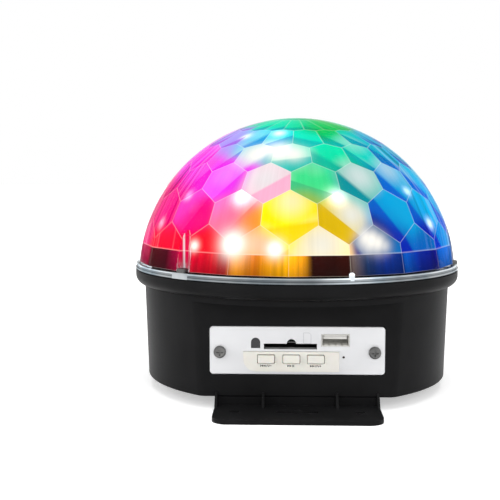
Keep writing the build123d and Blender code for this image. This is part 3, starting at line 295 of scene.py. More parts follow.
finishes = {
    "base_housing": black, "bottom_cover": black_rough, "mounting_foot": black, "foot_ring": rubber,
    "dome": dome_clear, "front_panel": panel_paint, "button_bezel": cream, "ir_window": smoke,
    "ir_receiver": smoke, "socket_board": board_green, "power_board": board_green, "led_board": board_white,
    "usb_shell": nickel, "usb_core": white_plastic, "card_socket": dark_steel, "transformer": tape,
    "capacitor": black_rough, "dc_jack": black_rough, "dc_pin": nickel, "heat_plate": aluminium,
    "motor": can_steel, "wheel_shaft": screw_steel, "lens_wheel": lens_clear, "hub_cap": black_rough,
    "speaker_basket": basket, "speaker_cone": paper, "speaker_magnet": ferrite, "status_led": led_dark,
}
for number, colour in enumerate(lamp_colours, 1):
    finishes[f"light_{number}"] = glowing(f"lamp_{number}", colour)
    finishes[f"beam_lens_{number}"] = lens_clear
for name in nodes:
    if "screw" in name:
        finishes[name] = screw_steel
    elif name.startswith("button_") and name != "button_bezel":
        finishes[name] = cream
    elif name.startswith(("switch_", "plunger_")):
        finishes[name] = black_rough
for name, piece in nodes.items():
    for socket in piece.material_slots:
        socket.material = finishes[name]


# Mesh helpers, in millimetres
def build(name, points, faces, material, body, slot):
    """A piece that rides on a body."""
    shape = bpy.data.meshes.new(name)
    shape.from_pydata([Vector(p) * MM for p in points], [], faces)
    shape.update()
    piece = bpy.data.objects.new(name, shape)
    scene.collection.objects.link(piece)
    piece.data.materials.append(material)
    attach(piece, body)
    return piece


def joined(shapes):
    """Several shapes' points and faces as one."""
    points, faces = [], []
    for more_points, more_faces in shapes:
        first = len(points)
        points += more_points
        faces += [tuple(first + corner for corner in face) for face in more_faces]
    return points, faces


def slabs(outlines, front, thickness):
    """Upright slabs with their front at y: outlines of (x, z), clockwise as seen from the front."""
    points, faces = [], []
    for outline in outlines:
        first, count = len(points), len(outline)
        points += [(x, front, z) for x, z in outline]
        points += [(x, front + thickness, z) for x, z in outline]
        faces.append(tuple(range(first + count - 1, first - 1, -1)))
        faces.append(tuple(range(first + count, first + 2 * count)))
        for k in range(count):
            n = (k + 1) % count
            faces.append((first + k, first + n, first + count + n, first + count + k))
    return points, faces


def bar(x, z, width, height):
    """A slab's outline: an upright rectangle about a middle."""
    w, h = width / 2, height / 2
    return [(x - w, z - h), (x - w, z + h), (x + w, z + h), (x + w, z - h)]


def arrow(x, z, size, way):
    """A triangle about a middle, which points right where the way is 1 and left where it is -1."""
    s = size / 2
    if way > 0:
        return [(x - s, z - s), (x - s, z + s), (x + s, z)]
    return [(x - s, z), (x + s, z + s), (x + s, z - s)]


def leaning(x, z, size, line, lean):
    """A slanted stroke whose top lies to the right of its foot by the lean."""
    s, w, d = size / 2, line / 2, lean / 2
    return [(x - d - w, z - s), (x + d - w, z + s), (x + d + w, z + s), (x - d + w, z - s)]


# The dome's shape, in millimetres and degrees
CENTRE = Vector((0, 0, 57.0))  # middle of the dome's sphere
ROWS = (12.2, 26.0, 39.2, 50.5, 62.0, 74.0)  # how far up each row of facets looks
COUNT = 18  # facets in a row
PHASE = -3.0  # turn of all rows about the upright axis
SHELL = 81.0  # within the clear wall, where the plastic carries the light
SKIN = 82.8  # just inside the dome's smooth outside
SHADOW_Z = 74.5  # the collar keeps the light off the dome below this height
FOOT_Z = 65.2  # where the lit sheet starts
CHANNEL_ANGLES = (-41.5, 78.5, 198.5)  # of the three screw channels
CHANNEL_ORBIT = 81.8
CHANNEL_REACH = 4.2
CHANNEL_TOP = 85.0


def towards(azimuth, rise):
    """The direction at an angle right of the front and an angle above level."""
    a, r = math.radians(azimuth), math.radians(rise)
    return Vector((math.sin(a) * math.cos(r), -math.cos(a) * math.cos(r), math.sin(r)))


CHANNELS = [towards(azimuth, 0) * CHANNEL_ORBIT for azimuth in CHANNEL_ANGLES]

# Coloured beams: azimuth, rise, colour, width in degrees
beams = [
    (-82, 22, (0.90, 0.02, 0.22), 15), (-60, 8, (0.92, 0.0, 0.03), 15), (-34, 10, (0.95, 0.0, 0.015), 12),
    (-62, 30, (0.92, 0.0, 0.24), 12), (-40, 25, (0.95, 0.0, 0.22), 7), (-46, 30, (0.92, 0.01, 0.50), 8),
    (-24, 25, (1.0, 0.16, 0.30), 9), (-16.5, 23.5, (1.0, 0.36, 0.02), 5), (-28, 29, (0.92, 0.14, 0.58), 6),
    (-44, 36, (0.93, 0.03, 0.74), 8),
    (-13, 14, (1.0, 0.40, 0.03), 8), (-3, 24, (1.0, 0.86, 0.0), 10), (9, 12, (1.0, 0.82, 0.30), 8),
    (14, 26, (0.70, 0.56, 0.0), 7), (-60, 45, (0.95, 0.01, 0.72), 14), (-34, 39, (0.85, 0.04, 0.92), 10),
    (-14, 37, (0.92, 0.58, 0.66), 8), (7, 39, (0.04, 0.66, 0.22), 9), (6, 33, (0.35, 0.60, 0.05), 5),
    (26, 39, (0.0, 0.40, 0.34), 9), (-52, 60, (0.40, 0.22, 0.85), 11), (-25, 62, (0.0, 0.60, 0.82), 12),
    (0, 56, (0.0, 0.74, 0.50), 13), (18, 50, (0.0, 0.66, 0.34), 9), (-16, 76, (0.0, 0.66, 0.38), 12),
    (30, 74, (0.0, 0.50, 0.08), 14), (40, 58, (0.0, 0.60, 0.42), 10), (52, 56, (0.0, 0.34, 0.52), 11),
    (42, 27, (0.0, 0.22, 0.60), 12), (50, 38, (0.0, 0.28, 0.66), 11), (36, 12, (0.0, 0.05, 0.42), 11),
    (28, 15, (0.0, 0.04, 0.22), 8), (52, 14, (0.0, 0.03, 0.42), 9), (64, 14, (0.0, 0.12, 0.66), 10),
    (68, 30, (0.0, 0.28, 0.74), 14),
    (84, 16, (0.0, 0.20, 0.72), 14), (75, 52, (0.0, 0.30, 0.62), 16),
    (112, 14, (0.08, 0.02, 0.70), 20), (118, 42, (0.0, 0.50, 0.72), 22), (145, 20, (0.0, 0.62, 0.22), 20),
    (178, 14, (1.0, 0.66, 0.0), 20), (176, 42, (0.30, 0.70, 0.10), 20), (-148, 18, (1.0, 0.30, 0.0), 20),
    (-112, 14, (0.85, 0.0, 0.08), 20), (-125, 44, (0.80, 0.03, 0.75), 22), (150, 62, (0.0, 0.62, 0.55), 22),
]
beams = [(towards(a, r), Vector(c), math.radians(w)) for a, r, c, w in beams]
# Facets that the light makes pale: azimuth, rise, amount, width in degrees
veils = [
    (-23, 52, 0.93, 9), (-5, 51, 0.78, 8), (-14, 40, 0.80, 8), (20, 26, 0.88, 6.4), (-2.5, 31, 0.62, 6),
    (28, 41, 0.8, 8), (8, 16, 0.80, 8), (-20, 30, 0.35, 5), (8, 45, 0.25, 6), (48, 44, 0.55, 6.5),
    (-33, 42, 0.24, 8), (24, 16, 0.70, 4.5), (-50, 44, 0.18, 8), (-44, 28, 0.14, 7), (60, 40, 0.30, 8),
    (-13, 16, 0.5, 6), (-30, 64, 0.3, 7), (38, 58, 0.4, 7), (96, 40, 0.6, 9), (120, 27, 0.5, 8),
    (142, 39, 0.7, 9), (160, 26, 0.5, 8), (182, 30, 0.6, 8), (-150, 40, 0.7, 9), (-125, 27, 0.45, 8),
    (-100, 40, 0.6, 9), (172, 50, 0.8, 9), (-115, 55, 0.5, 9), (110, 55, 0.5, 9),
]
veils = [(towards(a, r), amount, math.radians(w)) for a, r, amount, w in veils]
# White glints, each inside one facet: azimuth, rise, width in degrees, strength
glints = [
    (-62.0, 21.0, 1.8, 1.0), (-22.4, 32.4, 3.0, 1.1), (15.0, 32.4, 3.0, 1.0), (-12.0, 55.0, 4.0, 0.8),
    (-50.0, 32.6, 1.8, 0.9), (59.0, 21.5, 1.8, 1.1), (-44, 63, 2.0, 0.7), (-15, 65.5, 2.2, 0.9),
    (52, 34, 1.6, 0.8), (82, 15, 2.4, 0.9), (118, 33, 2.8, 0.8), (165, 31, 2.4, 0.8),
    (-155, 32, 2.8, 0.9), (-88, 33, 2.2, 0.8),
]
glints = [(towards(a, r), math.radians(w), strength) for a, r, w, strength in glints]
# Glare of the lamps across facets and the line above the collar: azimuth, rise, width in degrees, strength
glares = [
    (-22.3, 15.8, 4.4, 1.5), (-7.6, 14.5, 2.7, 1.5), (-38.0, 14.6, 1.8, 1.1), (23.8, 17.9, 3.2, 0.8),
    (25.8, 17.1, 3.5, 0.9), (28.0, 16.2, 3.3, 0.85), (30.2, 15.3, 2.6, 0.6),
    (-22, 51.5, 4.5, 0.75), (-11, 52.5, 5.0, 0.85), (-2, 51.5, 4.0, 0.7),
    (140, 15, 3.6, 1.3), (188, 15, 3.4, 1.3), (-132, 16, 3.4, 1.4), (-100, 15, 2.4, 1.1),
]
glares = [(towards(a, r), math.radians(w), strength) for a, r, w, strength in glares]
# Light on the dome beside the collar, all the way round: azimuth and colour, blended between them
low_light = [
    (-80, (0.60, 0.0, 0.10)), (-67, (0.45, 0.0, 0.05)), (-64, (0.07, 0.0, 0.002)), (-52, (0.09, 0.0, 0.01)),
    (-46, (0.42, 0.0, 0.05)), (-38, (0.90, 0.0, 0.03)), (-28, (0.80, 0.0, 0.015)), (-24, (0.55, 0.01, 0.01)),
    (-21, (1.2, 0.43, 0.0)), (-14, (0.85, 0.20, 0.0)), (-10, (1.15, 0.44, 0.0)), (-4, (1.35, 0.60, 0.0)),
    (1, (1.3, 0.50, 0.01)), (4.5, (0.03, 0.001, 0.0)), (16.5, (0.03, 0.002, 0.0)), (18, (0.17, 0.12, 0.11)),
    (23, (0.01, 0.04, 0.14)), (30, (0.0, 0.03, 0.30)), (36.5, (0.0, 0.02, 0.20)), (39, (0.0, 0.10, 0.56)),
    (46, (0.0, 0.02, 0.34)), (57, (0.0, 0.0, 0.20)), (60, (0.0, 0.14, 0.72)), (90, (0.0, 0.16, 0.60)),
    (110, (0.01, 0.0, 0.14)), (135, (0.0, 0.16, 0.06)), (158, (0.05, 0.03, 0.0)), (172, (0.95, 0.48, 0.0)),
    (188, (0.95, 0.40, 0.0)), (194, (0.05, 0.01, 0.0)), (215, (0.08, 0.01, 0.0)), (230, (0.60, 0.04, 0.0)),
    (252, (0.14, 0.0, 0.01)), (280, (0.60, 0.0, 0.10)),
]

# How tones change over the dome
HASH_STEPS = (12.9898, 78.233, 37.719)
HASH_SCALE = 43758.5453
BEAM_SHARPNESS = 3.5  # how fast one beam's colour gives way to the next
TRACE = 1e-6  # keeps a division from zero
RED_GAIN, BLUE_GAIN = 1.08, 1.12
SKY_GREEN, ROSE_GREEN = 0.22, 0.06  # green that a bright part gains where it is blue or magenta
WEDGE_GREEN, WEDGE_BLUE = 0.8, 0.92  # what a wedge keeps of these
BLUE_LOSS = 0.8  # how much more of its green a blue wedge loses


def hashed(*seed):
    """A repeatable value from 0 to 1."""
    value = math.sin(sum(s * k for s, k in zip(seed, HASH_STEPS))) * HASH_SCALE
    return value - math.floor(value)


def apart(here, there):
    """The angle between two directions."""
    return math.acos(max(-1.0, min(1.0, here.dot(there))))


def fading(where, centre, width, sharpness=1.0):
    """A round spot of light: 1 at its centre, less by the angle away from it."""
    return math.exp(-sharpness * (apart(where, centre) / width) ** 2)


def beam_colour(where):
    """The colour that the beams mix in a direction."""
    total, colour = TRACE, Vector((0, 0, 0))
    for centre, tint, width in beams:
        weight = fading(where, centre, width, BEAM_SHARPNESS)
        total += weight
        colour += tint * weight
    return colour / total


def veil(where):
    """How pale the light makes the dome here, from 0 to 1."""
    return max(amount * fading(where, centre, width) for centre, amount, width in veils)


def glare(where):
    """How much the lamps outshine the dome here, from 0 to 1."""
    return min(1.0, max(strength * fading(where, centre, width) for centre, width, strength in glares))


def lighter(tone):
    """The tone of a facet's brighter part: blue turns to sky and magenta to rose."""
    red, green, blue = tone
    green += SKY_GREEN * blue * (1 - red) + ROSE_GREEN * red * blue
    return Vector((RED_GAIN * red, green, BLUE_GAIN * blue))


def deeper(tone):
    """The tone of a facet's wedge: red stays full, and blue loses most of its green."""
    blueness = tone.z / (sum(tone) + TRACE)
    green = tone.y * (1 - BLUE_LOSS * blueness**2) * WEDGE_GREEN
    return Vector((tone.x, green, tone.z * WEDGE_BLUE))


def low_colour(azimuth):
    """The light beside the collar at an azimuth."""
    lowest = low_light[0][0]
    azimuth = (azimuth - lowest) % 360 + lowest
    for (start_at, first), (end_at, second) in zip(low_light, low_light[1:]):
        if azimuth <= end_at:
            return Vector(first).lerp(Vector(second), (azimuth - start_at) / (end_at - start_at))
    return Vector(low_light[-1][1])


# The facets' outlines
BLANK = 45  # half the width of the square that a facet is cut from, in millimetres
NEIGHBOUR = 0.5  # cosine of the widest angle to a facet that may cut another
SAME_PLANE = 1e-9


def planes():
    """Each facet's outward normal, its row and its step; the last one is flat, at the top."""
    made = []
    for row, rise in enumerate(ROWS):
        for step in range(COUNT):
            turn = PHASE + (row % 2 + 1) * 180 / COUNT + step * 360 / COUNT
            made.append((towards(turn, rise), row, step))
    made.append((Vector((0, 0, 1)), len(ROWS), 0))
    return made


def clipped(polygon, normal, distance):
    """The part of a polygon on the inner side of a plane."""
    kept = []
    for a, b in zip(polygon, polygon[1:] + polygon[:1]):
        da, db = a.dot(normal) - distance, b.dot(normal) - distance
        if da <= 0:
            kept.append(a)
        if (da < 0) != (db < 0) and abs(da - db) > SAME_PLANE:
            kept.append(a + (b - a) * (da / (da - db)))
    return kept


def facet_outlines():
    """Each facet's outline round the dome's centre, with its normal, row and step."""
    everything = planes()
    outlines = []
    for normal, row, step in everything:
        side = normal.orthogonal().normalized()
        other = normal.cross(side)
        middle = normal * SHELL
        corners = ((-1, -1), (1, -1), (1, 1), (-1, 1))
        shape = [middle + side * (u * BLANK) + other * (v * BLANK) for u, v in corners]
        for across, _, _ in everything:
            if across is not normal and across.dot(normal) > NEIGHBOUR and shape:
                shape = clipped(shape, across, SHELL)
        shape = clipped(shape, Vector((0, 0, -1)), CENTRE.z - FOOT_Z)
        outlines.append((shape, normal, row, step))
    return outlines


# How the light lies on a facet, in millimetres and shares
FINE = 7  # divisions of each of a facet's triangles
FINER = 17  # the same where the light ends along a curve
SHORTEST = 0.05  # an edge shorter than this gets no triangle
GATHER = 0.8  # how much of a facet's breadth shows in the beams' colours
ASIDE = 6.0  # range over which a facet's colours are moved aside
ONSET_LEAST, ONSET_RANGE = 0.12, 0.28  # where a wedge starts, as a share of the facet's size
SOFT_LEAST, SOFT_RANGE = 0.5, 3.5  # how wide the edge of a wedge is
HERE_SHARE, WHOLE_SHARE = 0.85, 0.15  # paleness of the spot itself, and of its facet's middle
FAINT = 0.12  # paleness below this amount isn't drawn
PALEST = 0.96
PALE_TONE = Vector((0.74, 0.76, 0.76))
BRIGHT_MIDDLE, BRIGHT_FALL = 0.65, 0.8  # brightness at a facet's middle, and its fall towards the wedge
GLINT_TONE = Vector((1, 0.97, 0.93))
GLINT_REACH = 1.05  # how far from the middle a facet's glints lie, as a share of its size
GLINT_IN_WEDGE = 0.6
WEDGE_ACROSS, WEDGE_DOWN = 1.3, 0.75
NEARLY_LEVEL = 0.1  # a facet this close to level has no sideways slope of its own
OVERLAP = 0.2  # how far the facets' light reaches into a channel's tube
OVER_TOP = 2  # how far above a channel's top the facets are opened for it
OFF_TOP = 2  # how far below a channel's top its tube starts to close


class Sheet:
    """Points and faces of the lit sheet, with what its finish reads at each point."""

    def __init__(self):
        self.points, self.faces = [], []
        self.pale, self.deep, self.low, self.marks = [], [], [], []

    def add(self, point, pale, deep, rim, wedge, own=0.0, low=None):
        """One point: its tones, its way to the rim and into the wedge, and its facet's own value."""
        if low is None:
            low = low_colour(math.degrees(math.atan2(point.x, -point.y)))
        self.points.append(point)
        self.pale.append((*pale, 1))
        self.deep.append((*deep, own))
        self.low.append((*low, 1))
        self.marks.append((rim, wedge, glare((point - CENTRE).normalized())))


def wedge_side(normal):
    """The way in which a facet's deep colour lies: down, and towards the middle of the front or back."""
    east = Vector((0, 0, 1)).cross(normal)
    east = east.normalized() if east.length > NEARLY_LEVEL else Vector((1, 0, 0))
    up = normal.cross(east)
    across = -math.sin(2 * math.atan2(normal.x, -normal.y))
    return (east * across * WEDGE_ACROSS - up * WEDGE_DOWN).normalized()


class Facet:
    """One facet's outline, with what sets its light apart from its neighbours'."""

    def __init__(self, shape, normal, row, step):
        self.shape = shape
        self.middle = sum(shape, Vector()) / len(shape)
        self.size = max((p - self.middle).length for p in shape)
        self.shift = Vector([hashed(row + 1, step + 1, k) - 0.5 for k in (1, 2, 3)]) * ASIDE
        self.own = hashed(row + 4, step + 8, 7)
        self.side = wedge_side(normal)
        self.onset = self.size * (ONSET_LEAST + ONSET_RANGE * hashed(row + 2, step + 9, 6))
        self.soft = SOFT_LEAST + SOFT_RANGE * hashed(row + 7, step + 2, 5) ** 2
        self.veil = veil(normal)
        self.glints = [g for g in glints if apart(g[0], normal) < GLINT_REACH * self.size / SHELL]

    def divisions(self):
        """More where the light ends along a curve: beside a channel and at the foot."""
        foot = self.middle.z + CENTRE.z - self.size
        near = self.size + CHANNEL_REACH
        beside = foot < CHANNEL_TOP and any((self.middle - c).xy.length < near for c in CHANNELS)
        return FINER if beside or foot < SHADOW_Z else FINE

    def wedge(self, here):
        """How far a point lies inside the wedge, by the softness of its edge."""
        return ((here - self.middle).dot(self.side) - self.onset) / self.soft

    def tones(self, here):
        """The pale and the deep tone at a point."""
        colour = beam_colour((self.middle + (here - self.middle) * GATHER + self.shift).normalized())
        light = HERE_SHARE * veil(here.normalized()) + WHOLE_SHARE * self.veil
        light = min(PALEST, max(0.0, light - FAINT) / (1 - FAINT))
        along = (here - self.middle).dot(self.side) / self.size
        bright = min(1.0, max(0.0, BRIGHT_MIDDLE - BRIGHT_FALL * along))
        pale = colour.lerp(lighter(colour), bright).lerp(PALE_TONE, light)
        for centre, width, strength in self.glints:
            glow = strength * fading(here.normalized(), centre, width)
            pale = pale + GLINT_TONE * glow
            colour = colour + GLINT_TONE * glow * GLINT_IN_WEDGE
        return pale, deeper(colour)


def light_facet(sheet, facet):
    """Lays a facet's light in the sheet, as a triangle from each edge to the facet's middle."""
    fine = facet.divisions()
    middle = facet.middle
    for a, b in zip(facet.shape, facet.shape[1:] + facet.shape[:1]):
        if (b - a).length < SHORTEST:
            continue
        line = (b - a).normalized()
        reach = ((middle - a) - line * (middle - a).dot(line)).length
        row_start = [len(sheet.points)]
        for i in range(fine + 1):
            row_start.append(row_start[-1] + fine + 1 - i)
            for j in range(fine + 1 - i):
                u, v = i / fine, j / fine
                here = a * (1 - u - v) + b * v + middle * u
                pale, deep = facet.tones(here)
                sheet.add(here + CENTRE, pale, deep, u * reach, facet.wedge(here), facet.own)
        for i in range(fine):
            for j in range(fine - i):
                p, q = row_start[i] + j, row_start[i + 1] + j
                sheet.faces.append((p, p + 1, q))
                if j < fine - i - 1:
                    sheet.faces.append((p + 1, q + 1, q))


def open_channels(sheet):
    """Takes the sheet's faces out where the screw channels stand."""
    inside = CHANNEL_REACH - OVERLAP
    kept = []
    for face in sheet.faces:
        spot = sum((sheet.points[k] for k in face), Vector()) / len(face)
        if spot.z < CHANNEL_TOP + OVER_TOP and any((spot.xy - c.xy).length < inside for c in CHANNELS):
            continue
        kept.append(face)
    sheet.faces = kept


# A channel's lit tube, in millimetres and degrees
TUBE_TURNS = 36  # steps round the tube
TUBE_RISES = 20  # steps up to where it closes
CAP_RISES = 3  # steps over its top
CAP_HEIGHT, CAP_ANGLE = 1.6, 20  # of each step over the top
TUBE_SWEEP = 1.05  # share of a half turn that the tube goes round
TUBE_LOOK = 18  # rise at which a tube takes its colour from the beams
TUBE_SHADE, TUBE_LOW_SHADE = 0.8, 0.9  # what a tube keeps of its colour, and of its light low down
TUBE_PALEST = 0.95
TUBE_TONE = Vector((0.9, 0.86, 0.9))
SPARKLE, SPARKLE_HEIGHT = 0.75, 3.0  # strength and height of the uneven light at a tube's foot
NO_RIM, NO_WEDGE = 2.0, -1.0  # out of the reach of rims and wedges
# Bright lines up a tube: place round it from 0 to 1, width and strength
TUBE_LINES = (
    (0.0, 0.05, 0.8), (0.16, 0.03, 0.85), (0.42, 0.03, 0.45), (0.70, 0.03, 0.9), (1.0, 0.06, 0.7),
)


def light_channels(sheet):
    """A lit half tube round each screw channel, closed by a quarter dome."""
    straight = CHANNEL_TOP - OFF_TOP - FOOT_Z
    for azimuth, centre in zip(CHANNEL_ANGLES, CHANNELS):
        inward = -centre.normalized()
        side = Vector((-inward.y, inward.x, 0))
        tone = beam_colour(towards(azimuth, TUBE_LOOK))
        base = len(sheet.points)
        for level in range(TUBE_RISES + CAP_RISES + 1):
            above = max(0, level - TUBE_RISES)
            z = FOOT_Z + straight * min(level, TUBE_RISES) / TUBE_RISES + CAP_HEIGHT * above
            radius = CHANNEL_REACH * math.cos(math.radians(CAP_ANGLE * above))
            for k in range(TUBE_TURNS + 1):
                around = k / TUBE_TURNS
                turn = math.pi * (around - 0.5) * TUBE_SWEEP
                way = inward * math.cos(turn) + side * math.sin(turn)
                light = max(s * math.exp(-(((around - at) / w) ** 2)) for at, w, s in TUBE_LINES)
                foot = SPARKLE * math.exp(-(((z - FOOT_Z) / SPARKLE_HEIGHT) ** 2)) * hashed(k, level, 2)
                pale = (tone * TUBE_SHADE).lerp(TUBE_TONE, min(TUBE_PALEST, light + foot))
                spot = centre + way * radius + Vector((0, 0, z))
                sheet.add(spot, pale, tone, NO_RIM, NO_WEDGE, low=pale * TUBE_LOW_SHADE)
        for level in range(TUBE_RISES + CAP_RISES):
            for k in range(TUBE_TURNS):
                p = base + level * (TUBE_TURNS + 1) + k
                face = (p, p + 1, p + TUBE_TURNS + 2, p + TUBE_TURNS + 1)
                if all((sheet.points[corner] - CENTRE).length < SKIN for corner in face):
                    sheet.faces.append(face)


# The lit sheet's finish
STREAK_SHIFT = (3.0, 5.0, 7.0)  # how far a facet's own value moves its streaks
STREAK_ROUGH = 0.65
WEDGE_EDGE = 0.5  # half of a wedge's edge, measured by its softness
SIDE_START, SIDE_END = 0.72, 0.92  # where the stronger streaks of the two sides come in
SIDE_SHARE = 0.85
SHADOW_BLUR = 0.12  # in millimetres, each side of the shadow's edge
FOOT_LINE = 0.7  # in millimetres, height of the bright line above the shadow
BELOW_SHADOW = 1  # in millimetres, from the shadow's edge down to where the low light is full
FOOT_SHARE = 0.5  # of the low light, left at the sheet's foot
SHEET_LIGHT = 1.2
SOLID_BELOW, SOLID_ABOVE = 0.97, 0.996  # how solid the sheet is below and above the shadow's edge
RIM_TONE = (1.0, 1.0, 0.94)
SHEEN_TONE = (1.0, 0.93, 0.97)
LINE_TONE = (1.0, 0.9, 0.85)
GLARE_TONE = (1.0, 0.955, 0.86)


def light_finish():
    """Pale and deep colours that meet at each facet's wedge line, bright rims, and little light low down."""
    made, tree, shader = start("coloured_light")

    def read(name):
        """What the sheet says at each point."""
        node = tree.nodes.new("ShaderNodeAttribute")
        node.attribute_name = name
        return node.outputs

    def darker(share, tone, value, stops):
        """A tone multiplied by a ramp over a value, by a share."""
        return mixed(tree, share, tone, ramp(tree, value, stops), "MULTIPLY")

    marks = parts_of(tree, read("marks")["Vector"])
    rim_way, wedge_way, glare_share = marks["X"], marks["Y"], marks["Z"]
    coords = place(tree)
    where = parts_of(tree, coords)
    deep = read("deep")
    # Streaks of painted shade that run up the dome, at other places on each facet
    flat = tree.nodes.new("ShaderNodeCombineXYZ")
    tree.links.new(where["X"], flat.inputs["X"])
    tree.links.new(where["Y"], flat.inputs["Y"])
    round_about = computed(tree, VECTOR_MATH, "NORMALIZE", flat.outputs["Vector"])["Vector"]
    moved = computed(tree, VECTOR_MATH, "MULTIPLY_ADD", deep["Alpha"], STREAK_SHIFT, round_about)["Vector"]
    streak = noise(tree, moved, scale=26.0, detail=4.0, rough=STREAK_ROUGH)
    wedge = between(tree, wedge_way, -WEDGE_EDGE, WEDGE_EDGE)
    lit = mixed(tree, wedge, read("pale")["Color"], deep["Color"])
    lit = darker(0.12, lit, streak, [(0.36, 0.42), (0.6, 1.0)])
    # Stronger streaks, dark and light, round the two sides
    sideways = computed(tree, MATH, "ABSOLUTE", parts_of(tree, round_about)["X"])["Value"]
    limb = between(tree, sideways, SIDE_START, SIDE_END, high=SIDE_SHARE)
    fine = noise(tree, moved, scale=22.0, detail=3.0, rough=STREAK_ROUGH)
    lit = mixed(tree, limb, lit, darker(1.0, lit, fine, [(0.36, 0.3), (0.47, 1.0)]))
    sheen = ramp(tree, fine, [(0.58, 0.0), (0.66, 0.32)])
    lit = mixed(tree, mixed(tree, limb, BLACK_TONE, sheen), lit, SHEEN_TONE)
    # Cloudy patches of painted shade, and bright rims
    cloud = noise(tree, coords, scale=42.0, detail=2.0)
    lit = darker(0.25, lit, cloud, [(0.35, 0.7), (0.65, 1.0)])
    rims = ramp(tree, rim_way, [(0.0, 0.6), (0.1, 0.4), (0.2, 0.0)])
    lit = mixed(tree, rims, lit, mixed(tree, 0.55, lit, RIM_TONE))
    # A bright line along the shadow's edge
    height = where["Z"]
    high = between(tree, height, (SHADOW_Z - SHADOW_BLUR) * MM, (SHADOW_Z + SHADOW_BLUR) * MM)
    over_line = between(tree, height, SHADOW_Z * MM, (SHADOW_Z + FOOT_LINE) * MM)
    line = ramp(tree, over_line, [(0.0, 0.4), (0.6, 0.25), (1.0, 0.0)])
    lit = mixed(tree, line, lit, mixed(tree, 0.6, lit, LINE_TONE))
    # What little light falls below it: a nearly solid sheet of painted shade over the collar, tinted with dim
    # painted light
    fall = between(tree, height, FOOT_Z * MM, (SHADOW_Z - BELOW_SHADOW) * MM, low=FOOT_SHARE)
    low = darker(1.0, read("low")["Color"], fall, [(0.0, 0.0), (1.0, 1.0)])
    low = darker(0.5, low, streak, [(0.36, 0.3), (0.6, 1.0)])
    low = mixed(tree, mixed(tree, 0.5, rims, BLACK_TONE), low, mixed(tree, 0.35, lit, WHITE_TONE))
    lit = mixed(tree, high, low, lit)
    lit = mixed(tree, glare_share, lit, GLARE_TONE)
    tree.links.new(lit, shader.inputs["Emission Color"])
    tree.links.new(between(tree, high, 0.0, 1.0, SOLID_BELOW, SOLID_ABOVE), shader.inputs["Alpha"])
    assign(shader, Emission_Strength=SHEET_LIGHT, Base_Color=(0.004, 0.004, 0.004, 1))
    assign(shader, Roughness=0.5, Specular_IOR_Level=0.0)
    return made


def light_dome():
    """The lit sheet: every facet and channel, with the values that its finish reads."""
    sheet = Sheet()
    for outline in facet_outlines():
        light_facet(sheet, Facet(*outline))
    open_channels(sheet)
    light_channels(sheet)
    piece = build("dome_light", sheet.points, sheet.faces, light_finish(), "base", "clear_dome")
    for name, values in (("pale", sheet.pale), ("deep", sheet.deep), ("low", sheet.low)):
        colours = piece.data.attributes.new(name, "FLOAT_COLOR", "POINT")
        colours.data.foreach_set("color", [part for value in values for part in value])
    marks = piece.data.attributes.new("marks", "FLOAT_VECTOR", "POINT")
    marks.data.foreach_set("vector", [part for value in sheet.marks for part in value])


light_dome()

# Painted light on the clear flange and its nubs, a glow with painted highlights, in millimetres and degrees
RIM_RADIUS = 83.9
RIM_LOW, RIM_HIGH = 61.8, 64.6
RIM_TURNS = 180  # steps round the rim
NUB_ANGLES = (17.0, 137.0, 257.0)
NUB_ORBIT = 83.1
NUB_REACH = 1.25
NUB_TOP = 66.7
NUB_SIDES = 12
NUB_FOOT_UP = 1.4  # from the rim's foot to the foot of a nub's core
NUB_EDGE, NUB_TAPER = 0.4, 0.7  # height of its sloped top edge, and the share of its reach left above
ARC_STEPS = 8
ARC_SPREAD = 3.6  # to each side of a channel
ARC_OUT, ARC_UP = 0.15, 0.1  # beyond the rim's light, and above it
FLANGE_LIGHT = 1.7
# Strength of the painted glow at heights up the flange and up a nub; its brightest stops are painted
# highlights
FLANGE_STOPS = [
    (RIM_LOW, 0.10), (62.1, 0.55), (62.5, 0.50), (62.7, 0.12), (63.1, 0.20), (63.4, 0.42), (63.7, 0.16),
    (64.0, 0.85), (RIM_HIGH, 0.9),
]
NUB_STOPS = [(RIM_LOW, 0.75), (NUB_TOP - 1.5, 0.6), (NUB_TOP, 0.95)]
# Strength of both painted glows from left to right: painted highlights at the ends, and once right of the
# middle
ACROSS_STOPS = [
    (0.0, 1.0), (0.12, 0.6), (0.35, 0.42), (0.54, 0.36), (0.64, 1.0), (0.70, 0.95), (0.78, 0.42), (0.94, 0.6),
    (1.0, 1.0),
]


def glow_by_height(name, stops):
    """A painted bluish glow over a height range, with painted highlights; its stops are (height in
    millimetres, strength).
    """
    made, tree, shader = start(name)
    coords = place(tree)
    where = parts_of(tree, coords)
    low, high = stops[0][0], stops[-1][0]
    along = between(tree, where["Z"], low * MM, high * MM)
    bright = ramp(tree, along, [((z - low) / (high - low), value) for z, value in stops])
    patches = noise(tree, coords, scale=45.0)
    drift = ramp(tree, patches, [(0.35, (0.45, 0.55, 0.62)), (0.65, (0.94, 0.98, 1.0))])
    across = between(tree, where["X"], -RIM_RADIUS * MM, RIM_RADIUS * MM)
    sweep = ramp(tree, across, ACROSS_STOPS)
    lit = mixed(tree, 1.0, mixed(tree, 1.0, bright, drift, "MULTIPLY"), sweep, "MULTIPLY")
    tree.links.new(lit, shader.inputs["Emission Color"])
    assign(shader, Emission_Strength=FLANGE_LIGHT, Base_Color=(0.01, 0.012, 0.014, 1))
    assign(shader, Specular_IOR_Level=0.0)
    return made


def ring(middle, radius, z, steps):
    """Points round an upright line, at one height."""
    return [middle + towards(360 * k / steps, 0) * radius + Vector((0, 0, z)) for k in range(steps)]


def rim_band():
    """A band of painted glow along the flange's upright edge."""
    points = []
    for z in (RIM_LOW, RIM_HIGH):
        points += ring(Vector((0, 0, 0)), RIM_RADIUS, z, RIM_TURNS)
    faces = []
    for k in range(RIM_TURNS):
        n = (k + 1) % RIM_TURNS
        faces.append((k, n, RIM_TURNS + n, RIM_TURNS + k))
    return points, faces


